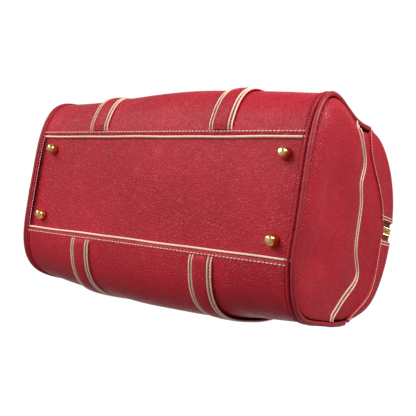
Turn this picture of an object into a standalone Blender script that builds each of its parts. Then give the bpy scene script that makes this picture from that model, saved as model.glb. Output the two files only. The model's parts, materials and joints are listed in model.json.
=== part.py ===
"""Zip-top doctor bag: a leather body on four studs, an internal frame of two hinged bows, two rolled handles.

Metres, +Z up, X along the bag, front towards -Y. The origin is on the ground under the middle of the base.
"""
import math

import bmesh
import bpy
from mathutils import Vector

# ---- driving dimensions ----------------------------------------------------------------------
LENGTH = 0.374            # over the two ends, at the base
END_SLOPE = 0.070         # how much each end leans in for each metre of height
BASE_HALF = 0.056         # centre line to the seam where a face panel leaves the base
BASE_TUCK = 0.004         # how far the base runs out over the face panel's edge
END_HALF = 0.109          # half the body's width at its ends, at the widest height
BULGE = 0.011             # extra half width in the middle of the length
WIDEST = 0.085            # height of the widest line above the base
TOP = 0.252               # height of the zip line above the base
SEAM = 0.142              # height of the seam between face panel and top panel
LEATHER = 0.002           # thickness of every body panel
GAP = 0.0003              # clearance between pieces that touch
FACET_CLEAR = 0.0002      # more clearance where a curved piece lies on a faceted one
LOWER_POWER = 4.0         # squareness of the section below the widest line
UPPER_POWER = 2.2         # squareness of the section above it

FOOT_HEIGHT = 0.006
FOOT_RADIUS = 0.006
FOOT_FLAT = 0.0020        # radius of the flat that stands on the ground
FOOT_RIM = 0.0012         # height of the stud's straight rim
FOOT_X = 0.160
FOOT_Y = 0.0393
SHANK_RADIUS = 0.0022
SHANK_PROUD = 0.0006      # shank through its washer
WASHER_RADIUS = 0.0070
WASHER_THICK = 0.0010
BOARD_THICK = 0.0025
BOARD_MARGIN = 0.012      # base board edge to end panel
BOARD_SIDE = 0.003        # base board narrower than the base leather, each side

PIPING_RADIUS = 0.0026
PIPING_TOP = 0.134        # height where the end piping stops
PIPING_START = 0.030      # half width where the piping's profile starts to turn up
PIPING_BACK = 0.0013      # piping's centre line behind the end plane
PIPING_INSET = 0.0010     # piping's centre line inside the body's face
END_RECESS = LEATHER - 0.0005    # ends back from the piping, clear of the top panels' fold
TRIM_WIDTH = 0.007
TRIM_THICK = 0.0018
TRIM_MID = 0.1350         # height of the end trim on the centre line
TRIM_SIDE = 0.095         # height of the end trim at the sides
CAP_MID = 0.2035          # lower edge of the top panels on the end, centre line
CAP_SIDE = 0.136          # the same at the sides
CAP_LAP = 0.010           # how far the end band runs up behind the top panels
CAP_PROUD = 0.0010        # top panels outside the end plane
CAP_LEAST = 0.004         # least height of a top panel on the end
CORNER = 0.018            # radius where the top turns down into the end
TURN_LEAST = 0.001        # least radius on the inside of that turn
END_CURVE = 0.100         # half width over which trim and cap edges arch
TRIM_POWER = 3.0          # a flat middle with steep sides
CAP_POWER = 2.0

STRAP_X = 0.085
STRAP_WIDTH = 0.028
STRAP_THICK = 0.0018
STRAP_START = 0.0030      # strap's lower end beyond the base seam
STRAP_TOP = 0.149
PIVOT_Z = 0.165           # ring pivot above the base
PIVOT_OFF = 0.0060        # ring pivot outside the body
RING_WIRE = 0.00175
RING_HEIGHT = 0.020
RING_WIDTH = 0.030
RING_CORNER = 0.004
KEEPER_THICK = 0.0015
KEEPER_START = 0.0012     # keeper's foot above the strap's end
KEEPER_BEND = 0.45        # share of the way up to the ring where the keeper's legs end
KEEPER_SIDE = 0.002       # keeper's edge to the ring's side bar
CHAPE_WIDTH = 0.020
CHAPE_TOP = 0.052
HANDLE_RADIUS = 0.0068
HANDLE_LEAN = 14.0 * (0.252 / TOP) ** 4        # degrees inwards from upright, less over a taller top
CHAPE_MOUTH = 0.002       # below the handle's end, where a chape's legs close in
CHAPE_NECK = 0.003        # above the ring's upper bar, where they meet it
HANDLE_START = 0.034      # from pivot along the handle
HANDLE_STRAIGHT = 0.080
HANDLE_DROP = 0.172       # pivot to the outside of the grip

HINGE_Z = 0.160           # mouth frame pivots above the base
BOW_SPLAY = 0.024
BOW_TOP = 0.230
BOW_RADIUS = 0.0025
BOW_X = 0.1655
BOW_CORNER = 0.020
BOW_STEP = 0.0062         # the inner bow's ends lie this far inside the outer bow's
EYE_RADIUS = 0.0056
EYE_THICK = 0.0053
EYE_SIDE = 0.0030         # rivet head from the middle of the outer bow's eye
INNER_SIDE = 0.0040       # the same from the middle of the inner bow's eye
RIVET_RADIUS = 0.0020
RIVET_CLEAR = 0.00025
RIVET_HEAD = 0.0042
RIVET_CAP = 0.0015        # thickness of the rivet's head

ZIP_SLOT = 0.0075         # centre line to a top panel's zip edge
ZIP_SPLIT = 0.0005        # between the zip's opening part and its closed ends
TAPE_INNER = 0.0032
TAPE_OUTER = 0.0165
TAPE_THICK = 0.0007
TAPE_CLEAR = 0.0007       # between a tape and the top panel over it, which is faceted
TEETH_INNER = 0.0004
TEETH_OUTER = 0.0029
TEETH_THICK = 0.0026
SLIDER_X = -0.140
SLIDER_SIZE = (0.0160, 0.0100, 0.0030)
PULL_LENGTH = 0.030
PULL_WIDTH = 0.0050
PULL_THICK = 0.0016
PULL_EYE = 0.0024
PIN_RADIUS = 0.0010
PIN_CLEAR = 0.0004        # pull's eye above the slider's body
LUG_LENGTH = 0.0050
LUG_THICK = 0.0015
LUG_OUT = 0.0008          # middle of a lug beyond the pull's side
LUG_OVER = 0.0008         # lug above the pin

LINING_INSET = 0.0050
LINING_THICK = 0.0010
LINING_HALF = 0.1730
LINING_TOP = 0.1400
LINING_FLOOR = 0.0135     # lining's floor above the base, over the board and washers
LINING_TUCK = 0.010       # floor shorter than the walls, each end
LINING_SQUARE = 0.35      # squareness of the lining's corners
LINING_RINGS = (0, 0.06, 0.16, 0.32, 0.55, 0.78, 1.0)   # shares of the way up where the wall is shaped
POCKET = (0.070, 0.045, 0.115)   # half length, bottom and top height above the base
POCKET_OFF = 0.006        # pocket inside the lining's wall

PATH_STEPS = 10
THROUGH = 0.05            # length of a cutter that passes right through

# ---- scene and materials ---------------------------------------------------------------------
for old in list(bpy.data.objects):
    bpy.data.objects.remove(old, do_unlink=True)


def collection(name):
    """A new collection in the scene."""
    made = bpy.data.collections.new(name)
    bpy.context.scene.collection.children.link(made)
    return made


BAG = collection("doctor_bag")
CUTTERS = collection("cutters")


def material(name, colour, roughness, metallic=0.0):
    """A Principled material."""
    made = bpy.data.materials.new(name)
    made.use_nodes = True
    shader = made.node_tree.nodes["Principled BSDF"]
    shader.inputs["Base Color"].default_value = (*colour, 1.0)
    shader.inputs["Roughness"].default_value = roughness
    shader.inputs["Metallic"].default_value = metallic
    return made


RED = material("red_leather", (0.42, 0.025, 0.045), 0.45)
DARK = material("piping_leather", (0.33, 0.02, 0.035), 0.42)
BRASS = material("brass", (0.80, 0.56, 0.24), 0.25, 1.0)
STEEL = material("frame_steel", (0.55, 0.56, 0.58), 0.35, 1.0)
BOARD = material("base_board", (0.30, 0.22, 0.15), 0.85)
CLOTH = material("lining_cloth", (0.55, 0.45, 0.34), 0.90)
TAPE = material("zip_tape", (0.20, 0.02, 0.03), 0.85)


# ---- mesh helpers ----------------------------------------------------------------------------
def add(name, data, finish, group=BAG):
    """An object for a mesh or curve, with its material, in a collection."""
    item = bpy.data.objects.new(name, data)
    if finish:
        data.materials.append(finish)
    group.objects.link(item)
    return item


def mesh_of(name, bm):
    """A bmesh as a mesh with its faces pointing out."""
    bmesh.ops.recalc_face_normals(bm, faces=bm.faces)
    data = bpy.data.meshes.new(name)
    bm.to_mesh(data)
    bm.free()
    return data


def sheet(name, rows, thickness, finish, offset):
    """An open grid of points with a wall: offset 1 grows along its normals, -1 against, 0 both ways.

    A row's points run along +X and the rows climb from the base, so the normals point away
    from the bag on the front, and the caller turns the rows round on the back.
    """
    data = bpy.data.meshes.new(name)
    width = len(rows[0])
    verts = [point for row in rows for point in row]
    faces = []
    for r in range(len(rows) - 1):
        for c in range(width - 1):
            a = r * width + c
            faces.append((a, a + 1, a + 1 + width, a + width))
    data.from_pydata(verts, [], faces)
    item = add(name, data, finish)
    wall = item.modifiers.new("wall", "SOLIDIFY")
    wall.thickness = thickness
    wall.offset = offset
    wall.use_even_offset = True
    data.shade_smooth()
    return item


def plate(name, outline, x_from, x_to, finish):
    """A flat outline of (y, z) points above the base, extruded from one x to another, leaning with the end."""
    bm = bmesh.new()
    face = bm.faces.new([bm.verts.new((x_from, y, z)) for y, z in outline])
    grown = bmesh.ops.extrude_face_region(bm, geom=[face])
    moved = [v for v in grown["geom"] if isinstance(v, bmesh.types.BMVert)]
    bmesh.ops.translate(bm, verts=moved, vec=(x_to - x_from, 0, 0))
    for vert in bm.verts:
        vert.co = placed(*vert.co)
    return add(name, mesh_of(name, bm), finish)


def tube(name, points, radius, finish, cyclic=False):
    """A round wire or cord along a run of points."""
    data = bpy.data.curves.new(name, "CURVE")
    data.dimensions = "3D"
    spline = data.splines.new("POLY")
    spline.points.add(len(points) - 1)
    for spot, point in zip(spline.points, points):
        spot.co = (*point, 1.0)
    spline.use_cyclic_u = cyclic
    data.bevel_depth = radius
    data.bevel_resolution = 2
    data.use_fill_caps = not cyclic
    return add(name, data, finish)


def solid_mesh(item):
    """A tube object as a welded mesh object of the same name."""
    evaluated = item.evaluated_get(bpy.context.evaluated_depsgraph_get())
    data = bpy.data.meshes.new_from_object(evaluated)
    bm = bmesh.new()
    bm.from_mesh(data)
    bmesh.ops.remove_doubles(bm, verts=bm.verts, dist=0.000001)
    bmesh.ops.recalc_face_normals(bm, faces=bm.faces)
    bm.to_mesh(data)
    bm.free()
    name, place = item.name, item.matrix_world.copy()
    bpy.data.objects.remove(item)
    made = bpy.data.objects.new(name, data)
    made.matrix_world = place
    BAG.objects.link(made)
    return made


def turned(name, profile, finish, steps=20):
    """A turned piece: an outer profile of (radius, height) from top to bottom, both ends on the axis or closed."""
    data = bpy.data.meshes.new(name)
    count = len(profile)
    closed = profile[0][0] > 0
    edges = [(i, i + 1) for i in range(count - 1)] + ([(count - 1, 0)] if closed else [])
    data.from_pydata([(r, 0, z) for r, z in profile], edges, [])
    item = add(name, data, finish)
    screw = item.modifiers.new("turn", "SCREW")
    screw.steps = steps
    screw.render_steps = steps
    screw.use_merge_vertices = True
    screw.merge_threshold = 0.00001
    return item


def rod(name, radius, length, centre, axis, finish=None, group=CUTTERS, segments=16):
    """A cylinder along X, Y or Z, a cutter unless it is put in the bag."""
    bm = bmesh.new()
    bmesh.ops.create_cone(bm, cap_ends=True, segments=segments, radius1=radius, radius2=radius, depth=length)
    turn = Vector((0, 0, 1)).rotation_difference(Vector(axis)).to_matrix()
    bmesh.ops.transform(bm, matrix=turn.to_4x4(), verts=bm.verts)
    bmesh.ops.translate(bm, verts=bm.verts, vec=centre)
    item = add(name, mesh_of(name, bm), finish, group)
    if group is CUTTERS:
        item.hide_render = True
        item.display_type = "WIRE"
    return item


def block(name, size, centre, finish=None, group=CUTTERS):
    """A box, a cutter unless it is put in the bag."""
    bm = bmesh.new()
    bmesh.ops.create_cube(bm, size=1.0)
    bmesh.ops.scale(bm, vec=size, verts=bm.verts)
    bmesh.ops.translate(bm, verts=bm.verts, vec=centre)
    item = add(name, mesh_of(name, bm), finish, group)
    if group is CUTTERS:
        item.hide_render = True
        item.display_type = "WIRE"
    return item


def combine(item, other, operation):
    """A Boolean of another object with this one."""
    step = item.modifiers.new(other.name, "BOOLEAN")
    step.operation = operation
    step.object = other
    step.solver = "EXACT"


# ---- the bag's form --------------------------------------------------------------------------
def half_width(x):
    """Half the body's width at its widest line, fuller in the middle of the length."""
    return END_HALF + BULGE * math.cos(math.pi * x / LENGTH) ** 2


def width_at(z, x):
    """Half the body's width at a height above the base."""
    if z < WIDEST:
        drop = (WIDEST - z) / WIDEST
        return half_width(x) * (1 - drop ** LOWER_POWER) ** (1 / LOWER_POWER)
    rise = min(1.0, (z - WIDEST) / (TOP - WIDEST))
    return half_width(x) * (1 - rise ** UPPER_POWER) ** (1 / UPPER_POWER)


def height_below(y, x):
    """Height of the outer face under the widest line at a half width."""
    return WIDEST * (1 - (1 - (y / half_width(x)) ** LOWER_POWER) ** (1 / LOWER_POWER))


def height_above(y, x):
    """Height of the outer face over the widest line at a half width."""
    share = min(1.0, abs(y) / half_width(x))
    return WIDEST + (TOP - WIDEST) * (1 - share ** UPPER_POWER) ** (1 / UPPER_POWER)


def lower_point(angle, x):
    """Outer face from the base's middle, angle 0, to the widest line, pi / 2."""
    y = half_width(x) * math.sin(angle) ** (2 / LOWER_POWER)
    return y, WIDEST * (1 - math.cos(angle) ** (2 / LOWER_POWER))


def upper_point(angle, x, inset=0.0):
    """Outer face from the widest line, angle 0, to the zip, pi / 2, moved in by an inset."""
    a, b = half_width(x), TOP - WIDEST
    c, s = math.cos(angle), math.sin(angle)
    y, z = a * c ** (2 / UPPER_POWER), b * s ** (2 / UPPER_POWER)
    slope_y = (y / a) ** (UPPER_POWER - 1) / a
    slope_z = (z / b) ** (UPPER_POWER - 1) / b
    size = math.hypot(slope_y, slope_z)
    return y - inset * slope_y / size, WIDEST + z - inset * slope_z / size


def upper_angle_at_height(z):
    """The upper angle whose outer face is at a height above the base."""
    return math.asin(((z - WIDEST) / (TOP - WIDEST)) ** (UPPER_POWER / 2))


def upper_angle_at_width(y, x):
    """The upper angle whose outer face is at a half width."""
    return math.acos((y / half_width(x)) ** (UPPER_POWER / 2))


def face_line(x, start, stop, lower_steps=9, upper_steps=5):
    """Outer face points (y, z) from half width start on the base to height stop."""
    first = math.asin((start / half_width(x)) ** (LOWER_POWER / 2))
    lower_end = math.pi / 2
    line = [lower_point(first + (lower_end - first) * i / lower_steps, x) for i in range(lower_steps)]
    last = upper_angle_at_height(stop)
    line += [upper_point(last * i / upper_steps, x) for i in range(upper_steps + 1)]
    return line


def moved_in(line, distance):
    """A line of (y, z) moved to its inner side, the side of the bag's middle."""
    moved = []
    for i, (y, z) in enumerate(line):
        before = line[max(i - 1, 0)]
        after = line[min(i + 1, len(line) - 1)]
        dy, dz = after[0] - before[0], after[1] - before[1]
        size = math.hypot(dy, dz)
        moved.append((y - distance * dz / size, z + distance * dy / size))
    return moved


def trim_line(y):
    """Height of the end trim across the end."""
    return TRIM_SIDE + (TRIM_MID - TRIM_SIDE) * (1 - min(1.0, abs(y) / END_CURVE) ** TRIM_POWER)


def cap_line(y):
    """Height of the top panels' lower edge across the end."""
    return CAP_SIDE + (CAP_MID - CAP_SIDE) * (1 - min(1.0, abs(y) / END_CURVE) ** CAP_POWER)


def placed(x, y, z):
    """A point of the body above the base, drawn in towards the top as the ends lean, on its studs."""
    return x * (1 - END_SLOPE * z / (LENGTH / 2)), y, lift(z)


def stations(count, limit):
    """Evenly spaced x from -limit to limit."""
    return [-limit + 2 * limit * i / (count - 1) for i in range(count)]


def lift(z):
    """A height above the base as a height above the ground."""
    return z + FOOT_HEIGHT


# ---- base ------------------------------------------------------------------------------------
def base():
    """Base leather over the face panels' lower edges, its board, and four studs through both."""
    half_length = LENGTH / 2 - 2 * PIPING_RADIUS
    reach = BASE_HALF + BASE_TUCK
    leather_z = lift(height_below(reach, LENGTH / 2) + LEATHER + 2 * GAP + LEATHER / 2)
    wide = 2 * reach
    leather = block("base_panel", (2 * half_length, wide, LEATHER), (0, 0, leather_z), RED, BAG)
    board_z = leather_z + LEATHER / 2 + GAP + BOARD_THICK / 2
    board_size = (2 * half_length - 2 * BOARD_MARGIN, wide - 2 * BOARD_SIDE, BOARD_THICK)
    board = block("base_board", board_size, (0, 0, board_z), BOARD, BAG)
    under = leather_z - LEATHER / 2 - GAP
    top = board_z + BOARD_THICK / 2
    holes = 0
    for x, end in ((-FOOT_X, "left"), (FOOT_X, "right")):
        for y, side in ((-FOOT_Y, "front"), (FOOT_Y, "back")):
            holes += 1
            hole = rod(f"shank_hole_{holes}", SHANK_RADIUS + GAP, THROUGH, (x, y, board_z), (0, 0, 1))
            combine(leather, hole, "DIFFERENCE")
            combine(board, hole, "DIFFERENCE")
            foot(f"foot_{side}_{end}", x, y, under, top)


def foot(name, x, y, under, top):
    """A domed stud whose shank passes the base and carries a washer inside."""
    end = top + 2 * GAP + WASHER_THICK + SHANK_PROUD
    dome = [(FOOT_RADIUS, under), (FOOT_RADIUS, under - FOOT_RIM)]
    for i in range(1, 6):
        turn = math.pi / 2 * i / 6
        r = FOOT_FLAT + (FOOT_RADIUS - FOOT_FLAT) * math.cos(turn)
        dome.append((r, (under - FOOT_RIM) * (1 - math.sin(turn))))
    dome.append((FOOT_FLAT, 0.0))
    profile = [(0, end), (SHANK_RADIUS, end), (SHANK_RADIUS, under), *dome, (0, 0.0)]
    stud = turned(name, profile, BRASS)
    stud.location = (x, y, 0)
    low, high = top + GAP, top + GAP + WASHER_THICK
    hole = SHANK_RADIUS + GAP
    ring = turned(name + "_washer", [(hole, high), (WASHER_RADIUS, high), (WASHER_RADIUS, low), (hole, low)], STEEL)
    ring.location = (x, y, 0)


# ---- face panels, ends and piping --------------------------------------------------------------
def face_panels():
    """Front and back body leather, from under the base up to the top panels' seam."""
    limit = LENGTH / 2 - PIPING_BACK - PIPING_RADIUS - 2 * GAP
    for name, side in (("front_panel", -1), ("back_panel", 1)):
        columns = [face_line(x, BASE_HALF, SEAM) for x in stations(11, limit)]
        rows = [[placed(x, side * columns[c][r][0], columns[c][r][1]) for c, x in enumerate(stations(11, limit))]
                for r in range(len(columns[0]))]
        sheet(name, oriented(rows, side), LEATHER, RED, -1)


def oriented(rows, side):
    """Rows as they are on the front, each turned round on the back, so that normals point out."""
    return rows if side < 0 else [row[::-1] for row in rows]


def ends():
    """End panels, end bands and the trim over the seam between them."""
    inset = PIPING_INSET + PIPING_RADIUS + 2 * GAP
    x_in = LENGTH / 2 - END_RECESS - LEATHER
    for name, side in (("left", -1), ("right", 1)):
        line = moved_in(face_line(side * x_in, BASE_HALF, TRIM_MID, 9, 5), inset)
        low = [p for p in line if p[1] < trim_line(p[0]) - GAP]
        across = [low[-1][0] * (1 - 2 * i / 12) for i in range(1, 12)]
        top = [(y, trim_line(y) - GAP) for y in across]
        bottom = [(-y, z) for y, z in low[::-1]]
        outline = [*low, *top, *bottom]
        plate(f"end_panel_{name}", outline, side * x_in, side * (x_in + LEATHER), RED)
        band(f"end_band_{name}", side, x_in, inset)
        trim(f"end_trim_{name}", side, x_in + LEATHER + GAP, low[-1][0])


def band(name, side, x_in, inset):
    """Leather between the end trim and the top panels, tucked up behind them."""
    line = moved_in(face_line(side * x_in, BASE_HALF, SEAM, 9, 8), inset)
    sides = [p for p in line if trim_line(p[0]) + 2 * GAP < p[1] < PIPING_TOP]
    across = stations(15, sides[-1][0] - inset / 2)
    reach = sides[0][0]
    floor = [(y * reach / across[-1], trim_line(y * reach / across[-1]) + GAP) for y in across]
    roof = [(y, band_top(y)) for y in across[::-1]]
    outline = [*floor, *sides[1:], *roof, *((-y, z) for y, z in sides[:0:-1])]
    plate(name, outline, side * x_in, side * (x_in + LEATHER), RED)


def band_top(y):
    """Upper edge of the end band, below where the top panels turn away from the end."""
    edge = cap_line(y)
    over = height_above(y, LENGTH / 2)
    return min(edge + CAP_LAP, over - corner_radius(over - edge) - LEATHER / 2)


def trim(name, side, x_in, reach):
    """A narrow strip over the seam, following its arch."""
    across = stations(17, reach)
    low = [(y, trim_line(y) - TRIM_WIDTH / 2) for y in across]
    high = [(y, z + TRIM_WIDTH) for y, z in low[::-1]]
    plate(name, low + high, side * x_in, side * (x_in + TRIM_THICK), DARK)


def piping():
    """Cord-filled welt round each end, from one shoulder under the base to the other."""
    for name, side in (("left", -1), ("right", 1)):
        x = side * (LENGTH / 2 - PIPING_BACK)
        line = moved_in(face_line(x, PIPING_START, PIPING_TOP, 11, 4), PIPING_INSET)
        around = [(-y, z) for y, z in line[::-1]] + line
        tube(f"piping_{name}", [placed(x, y, z) for y, z in around], PIPING_RADIUS, DARK)


# ---- handle straps, rings and handles --------------------------------------------------------
def pivot_y():
    """Distance of the ring pivots from the middle plane."""
    return width_at(PIVOT_Z, STRAP_X) + PIVOT_OFF


def straps():
    """Four straps up the face panels, each ending in a keeper that holds a ring."""
    for y_name, side in (("front", -1), ("back", 1)):
        for x_name, x_side in (("left", -1), ("right", 1)):
            centre = x_side * STRAP_X
            across = [centre + STRAP_WIDTH * (i / 4 - 0.5) for i in range(5)]
            lines = [moved_in(face_line(x, BASE_HALF + STRAP_START, STRAP_TOP, 10, 6), -GAP - FACET_CLEAR) for x in across]
            rows = [[(x, side * lines[c][r][0], lift(lines[c][r][1])) for c, x in enumerate(across)]
                    for r in range(len(lines[0]))]
            sheet(f"strap_{y_name}_{x_name}", oriented(rows, side), STRAP_THICK, RED, 1)
            keeper(f"keeper_{y_name}_{x_name}", side, centre)


def hairpin(radius, legs):
    """Leg points (across, along), a half turn over the bar at the origin, and the other leg."""
    inner, outer = legs
    turn = [(-radius * math.cos(math.pi * i / 8), radius * math.sin(math.pi * i / 8)) for i in range(9)]
    return inner + turn + outer


def strip(name, path, centre, width, thickness, finish):
    """A strip of constant width in X along a path of (y, z)."""
    rows = [[(centre - width / 2, y, z), (centre + width / 2, y, z)] for y, z in path]
    return sheet(name, rows, thickness, finish, 0)


def keeper(name, side, centre):
    """The strap's end, folded over the ring's lower bar and stitched down on itself."""
    radius = RING_WIRE + GAP + KEEPER_THICK / 2 + FACET_CLEAR
    widest_x = abs(centre) - STRAP_WIDTH / 2
    low = STRAP_TOP + KEEPER_START
    foot_y = width_at(low, widest_x) + 2 * GAP + KEEPER_THICK
    middle = low + (PIVOT_Z - low) * KEEPER_BEND
    middle_y = width_at(middle, widest_x) + 2 * GAP + KEEPER_THICK
    apart = KEEPER_THICK + GAP
    y0 = pivot_y()
    inner = [(foot_y - y0, low - PIVOT_Z), (middle_y - y0, middle - PIVOT_Z)]
    outer = [(middle_y + apart - y0, middle - PIVOT_Z), (foot_y + apart - y0, low - PIVOT_Z)]
    path = [(side * (y0 + y), lift(PIVOT_Z + z)) for y, z in hairpin(radius, (inner, outer))]
    strip(name, path, centre, STRAP_WIDTH - 2 * RING_WIRE - 2 * KEEPER_SIDE, KEEPER_THICK, RED)


def rounded_ring(width, height, corner):
    """Centre line of a rounded rectangle standing on its lower bar's middle, as (x, z)."""
    points = []
    corners = ((1, 0), (1, 1), (-1, 1), (-1, 0))
    for number, (sx, top) in enumerate(corners):
        cx = sx * (width / 2 - corner)
        cz = corner if not top else height - corner
        for i in range(4):
            turn = math.radians(-90 + 90 * number + 30 * i)
            points.append((cx + corner * math.cos(turn), cz + corner * math.sin(turn)))
    return points


def handles():
    """Two rolled handles, each with two rings and two chapes, leaning in on the ring pivots."""
    for y_name, side in (("front", -1), ("back", 1)):
        axis = bpy.data.objects.new(f"handle_pivot_{y_name}", None)
        BAG.objects.link(axis)
        axis.location = (0, side * pivot_y(), lift(PIVOT_Z))
        axis.rotation_euler = (math.radians(side * HANDLE_LEAN), 0, 0)
        pieces = []
        for x_name, x_side in (("left", -1), ("right", 1)):
            centre = x_side * STRAP_X
            ring = rounded_ring(RING_WIDTH, RING_HEIGHT, RING_CORNER)
            pieces.append(tube(f"ring_{y_name}_{x_name}", [(centre + x, 0, z) for x, z in ring],
                               RING_WIRE, BRASS, True))
            pieces.append(chape(f"chape_{y_name}_{x_name}", centre))
        pieces.append(grip(f"handle_{y_name}"))
        for piece in pieces:
            piece.parent = axis


def chape(name, centre):
    """Leather folded round the ring's upper bar and up both sides of the handle's end."""
    radius = RING_WIRE + GAP + KEEPER_THICK / 2 + FACET_CLEAR
    clear = HANDLE_RADIUS + GAP + KEEPER_THICK / 2 + FACET_CLEAR / 2
    legs = [(clear, CHAPE_TOP), (clear, HANDLE_START - CHAPE_MOUTH), (radius, RING_HEIGHT + CHAPE_NECK)]
    turn = [(radius * math.cos(math.pi * i / 8), RING_HEIGHT - radius * math.sin(math.pi * i / 8)) for i in range(9)]
    path = legs + turn + [(-y, z) for y, z in legs[::-1]]
    return strip(name, path, centre, CHAPE_WIDTH, KEEPER_THICK, RED)


def grip(name):
    """Rolled leather over a cord core: two straight legs and half an ellipse."""
    rise = HANDLE_DROP - HANDLE_RADIUS - HANDLE_STRAIGHT
    points = [(-STRAP_X, 0, HANDLE_START), (-STRAP_X, 0, (HANDLE_START + HANDLE_STRAIGHT) / 2)]
    for i in range(19):
        turn = math.pi * i / 18
        points.append((-STRAP_X * math.cos(turn), 0, HANDLE_STRAIGHT + rise * math.sin(turn)))
    points += [(STRAP_X, 0, (HANDLE_START + HANDLE_STRAIGHT) / 2), (STRAP_X, 0, HANDLE_START)]
    return tube(name, points, HANDLE_RADIUS, RED)


# ---- top panels and zip ----------------------------------------------------------------------
def corner_radius(fall):
    """Radius of the top's turn into the end, where the end part is this high."""
    return min(CORNER, 0.8 * fall)


def end_turn(angle, inset, end_z):
    """Up the end from end_z and round the corner to the top, as (x, y, z) above the base."""
    wall_x = LENGTH / 2 + CAP_PROUD
    corner_y, corner_z = upper_point(angle, wall_x)
    fall = max(corner_z - end_z(corner_y), CAP_LEAST)
    radius = corner_radius(fall)
    tight = max(radius - inset, TURN_LEAST)
    line = []
    for i in range(3):
        drop = fall + (radius - fall) * i / 3
        y, z = upper_point(angle, wall_x, inset)
        line.append((wall_x - inset, y, z - drop + inset))
    for i in range(5):
        turn = math.pi / 2 * i / 4
        x = wall_x - radius + tight * math.cos(turn)
        y, z = upper_point(angle, x, inset)
        line.append((x, y, z - tight * (1 - math.sin(turn))))
    return line


def along_the_top(angle, inset, reach):
    """Along one half of the top, from its end inwards to the middle."""
    steps = PATH_STEPS // 2
    return [(x, *upper_point(angle, x, inset)) for x in (reach * (1 - i / steps) for i in range(steps + 1))]


def both_ways(half, side):
    """Half a line, from its end to the middle, with its mirror image, on the body."""
    left = [placed(-x, side * y, z) for x, y, z in half]
    return left + [placed(x, side * y, z) for x, y, z in half[-2::-1]]


def over_the_top(angle, side, end_z):
    """One line from end to end over the bag: up one end, round the corner, along the top, and down again."""
    turn = end_turn(angle, 0, end_z)
    return both_ways(turn[:-1] + along_the_top(angle, 0, turn[-1][0]), side)


def top_panels():
    """Two leather top panels from the seam to the zip, turned down over both ends."""
    start = upper_angle_at_height(SEAM + GAP)
    stop = upper_angle_at_width(ZIP_SLOT, LENGTH / 2)
    for name, side in (("front", -1), ("back", 1)):
        angles = [start + (stop - start) * i / 9 for i in range(10)]
        rows = [over_the_top(angle, side, cap_line) for angle in angles]
        sheet(f"top_panel_{name}", oriented(rows, side), LEATHER, RED, -1)


def zip_closure():
    """Tapes and chains under the top panels' edges, opening along the top and closed down both ends."""
    inset = LEATHER + TAPE_CLEAR + TAPE_THICK / 2
    tape = [TAPE_OUTER, (TAPE_OUTER + TAPE_INNER) / 2, TAPE_INNER]
    for name, side in (("front", -1), ("back", 1)):
        for part, widths, thickness, finish in (("tape", tape, TAPE_THICK, TAPE),
                                                ("teeth", [TEETH_OUTER, TEETH_INNER], TEETH_THICK, BRASS)):
            opening, closed = zip_rows(widths, inset)
            rows = [both_ways(half, side) for half in opening]
            sheet(f"zip_{part}_{name}", oriented(rows, side), thickness, finish, 0)
            if part == "tape":
                for end, x_side in (("left", -1), ("right", 1)):
                    rows = [[placed(x_side * x, side * y, z) for x, y, z in half] for half in closed]
                    sheet(f"zip_end_tape_{name}_{end}", rows, thickness, finish, 0)
    closed = zip_rows([TEETH_OUTER], inset)[1][0]
    for end, x_side in (("left", -1), ("right", 1)):
        rows = [[placed(x_side * x, y_side * y, z) for x, y, z in closed] for y_side in (-1, 1)]
        sheet(f"zip_end_teeth_{end}", rows, TEETH_THICK, BRASS, 0)
    slider(lift(TOP) - inset + TEETH_THICK / 2 + 2 * GAP)


def zip_rows(widths, inset):
    """Half lines of the zip at these half widths: those of the part that opens, and those of a closed end."""
    end_height = CAP_MID + CAP_LAP + 2 * GAP
    opening, closed = [], []
    for width in widths:
        angle = upper_angle_at_width(width, LENGTH / 2)
        turn = end_turn(angle, inset, lambda y: end_height)
        closed.append(turn)
        opening.append(along_the_top(angle, inset, turn[-1][0] - ZIP_SPLIT))
    return opening, closed


def slider(under):
    """Slider body with two lugs and a pin, and a pull that turns on the pin."""
    length, width, height = SLIDER_SIZE
    body = block("zip_slider", (length, width, height), (SLIDER_X, 0, under + height / 2), BRASS, BAG)
    pin_z = under + height + PULL_EYE + PIN_CLEAR
    lug_y = PULL_WIDTH / 2 + GAP + LUG_OUT
    for number, y in enumerate((-lug_y, lug_y)):
        tall = pin_z + PIN_RADIUS + LUG_OVER - (under + height / 2)
        lug = block(f"lug_{number}", (LUG_LENGTH, LUG_THICK, tall), (SLIDER_X, y, under + height / 2 + tall / 2))
        combine(body, lug, "UNION")
    pin = rod("pull_pin", PIN_RADIUS, 2 * lug_y, (SLIDER_X, 0, pin_z), (0, 1, 0), segments=12)
    combine(body, pin, "UNION")
    bm = bmesh.new()
    flat = PULL_THICK / 2
    start = math.asin(flat / PULL_EYE)
    outline = [(PULL_EYE * math.cos(start + (2 * math.pi - 2 * start) * i / 14),
                PULL_EYE * math.sin(start + (2 * math.pi - 2 * start) * i / 14)) for i in range(15)]
    outline += [(PULL_LENGTH, -flat), (PULL_LENGTH, flat)]
    face = bm.faces.new([bm.verts.new((x, -PULL_WIDTH / 2, z)) for x, z in outline])
    grown = bmesh.ops.extrude_face_region(bm, geom=[face])
    moved = [v for v in grown["geom"] if isinstance(v, bmesh.types.BMVert)]
    bmesh.ops.translate(bm, verts=moved, vec=(0, PULL_WIDTH, 0))
    pull = add("zip_pull", mesh_of("zip_pull", bm), BRASS)
    pull.location = (SLIDER_X, 0, pin_z)
    eye = rod("pull_eye", PIN_RADIUS + GAP, THROUGH, (SLIDER_X, 0, pin_z), (0, 1, 0), segments=12)
    combine(pull, eye, "DIFFERENCE")


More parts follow.
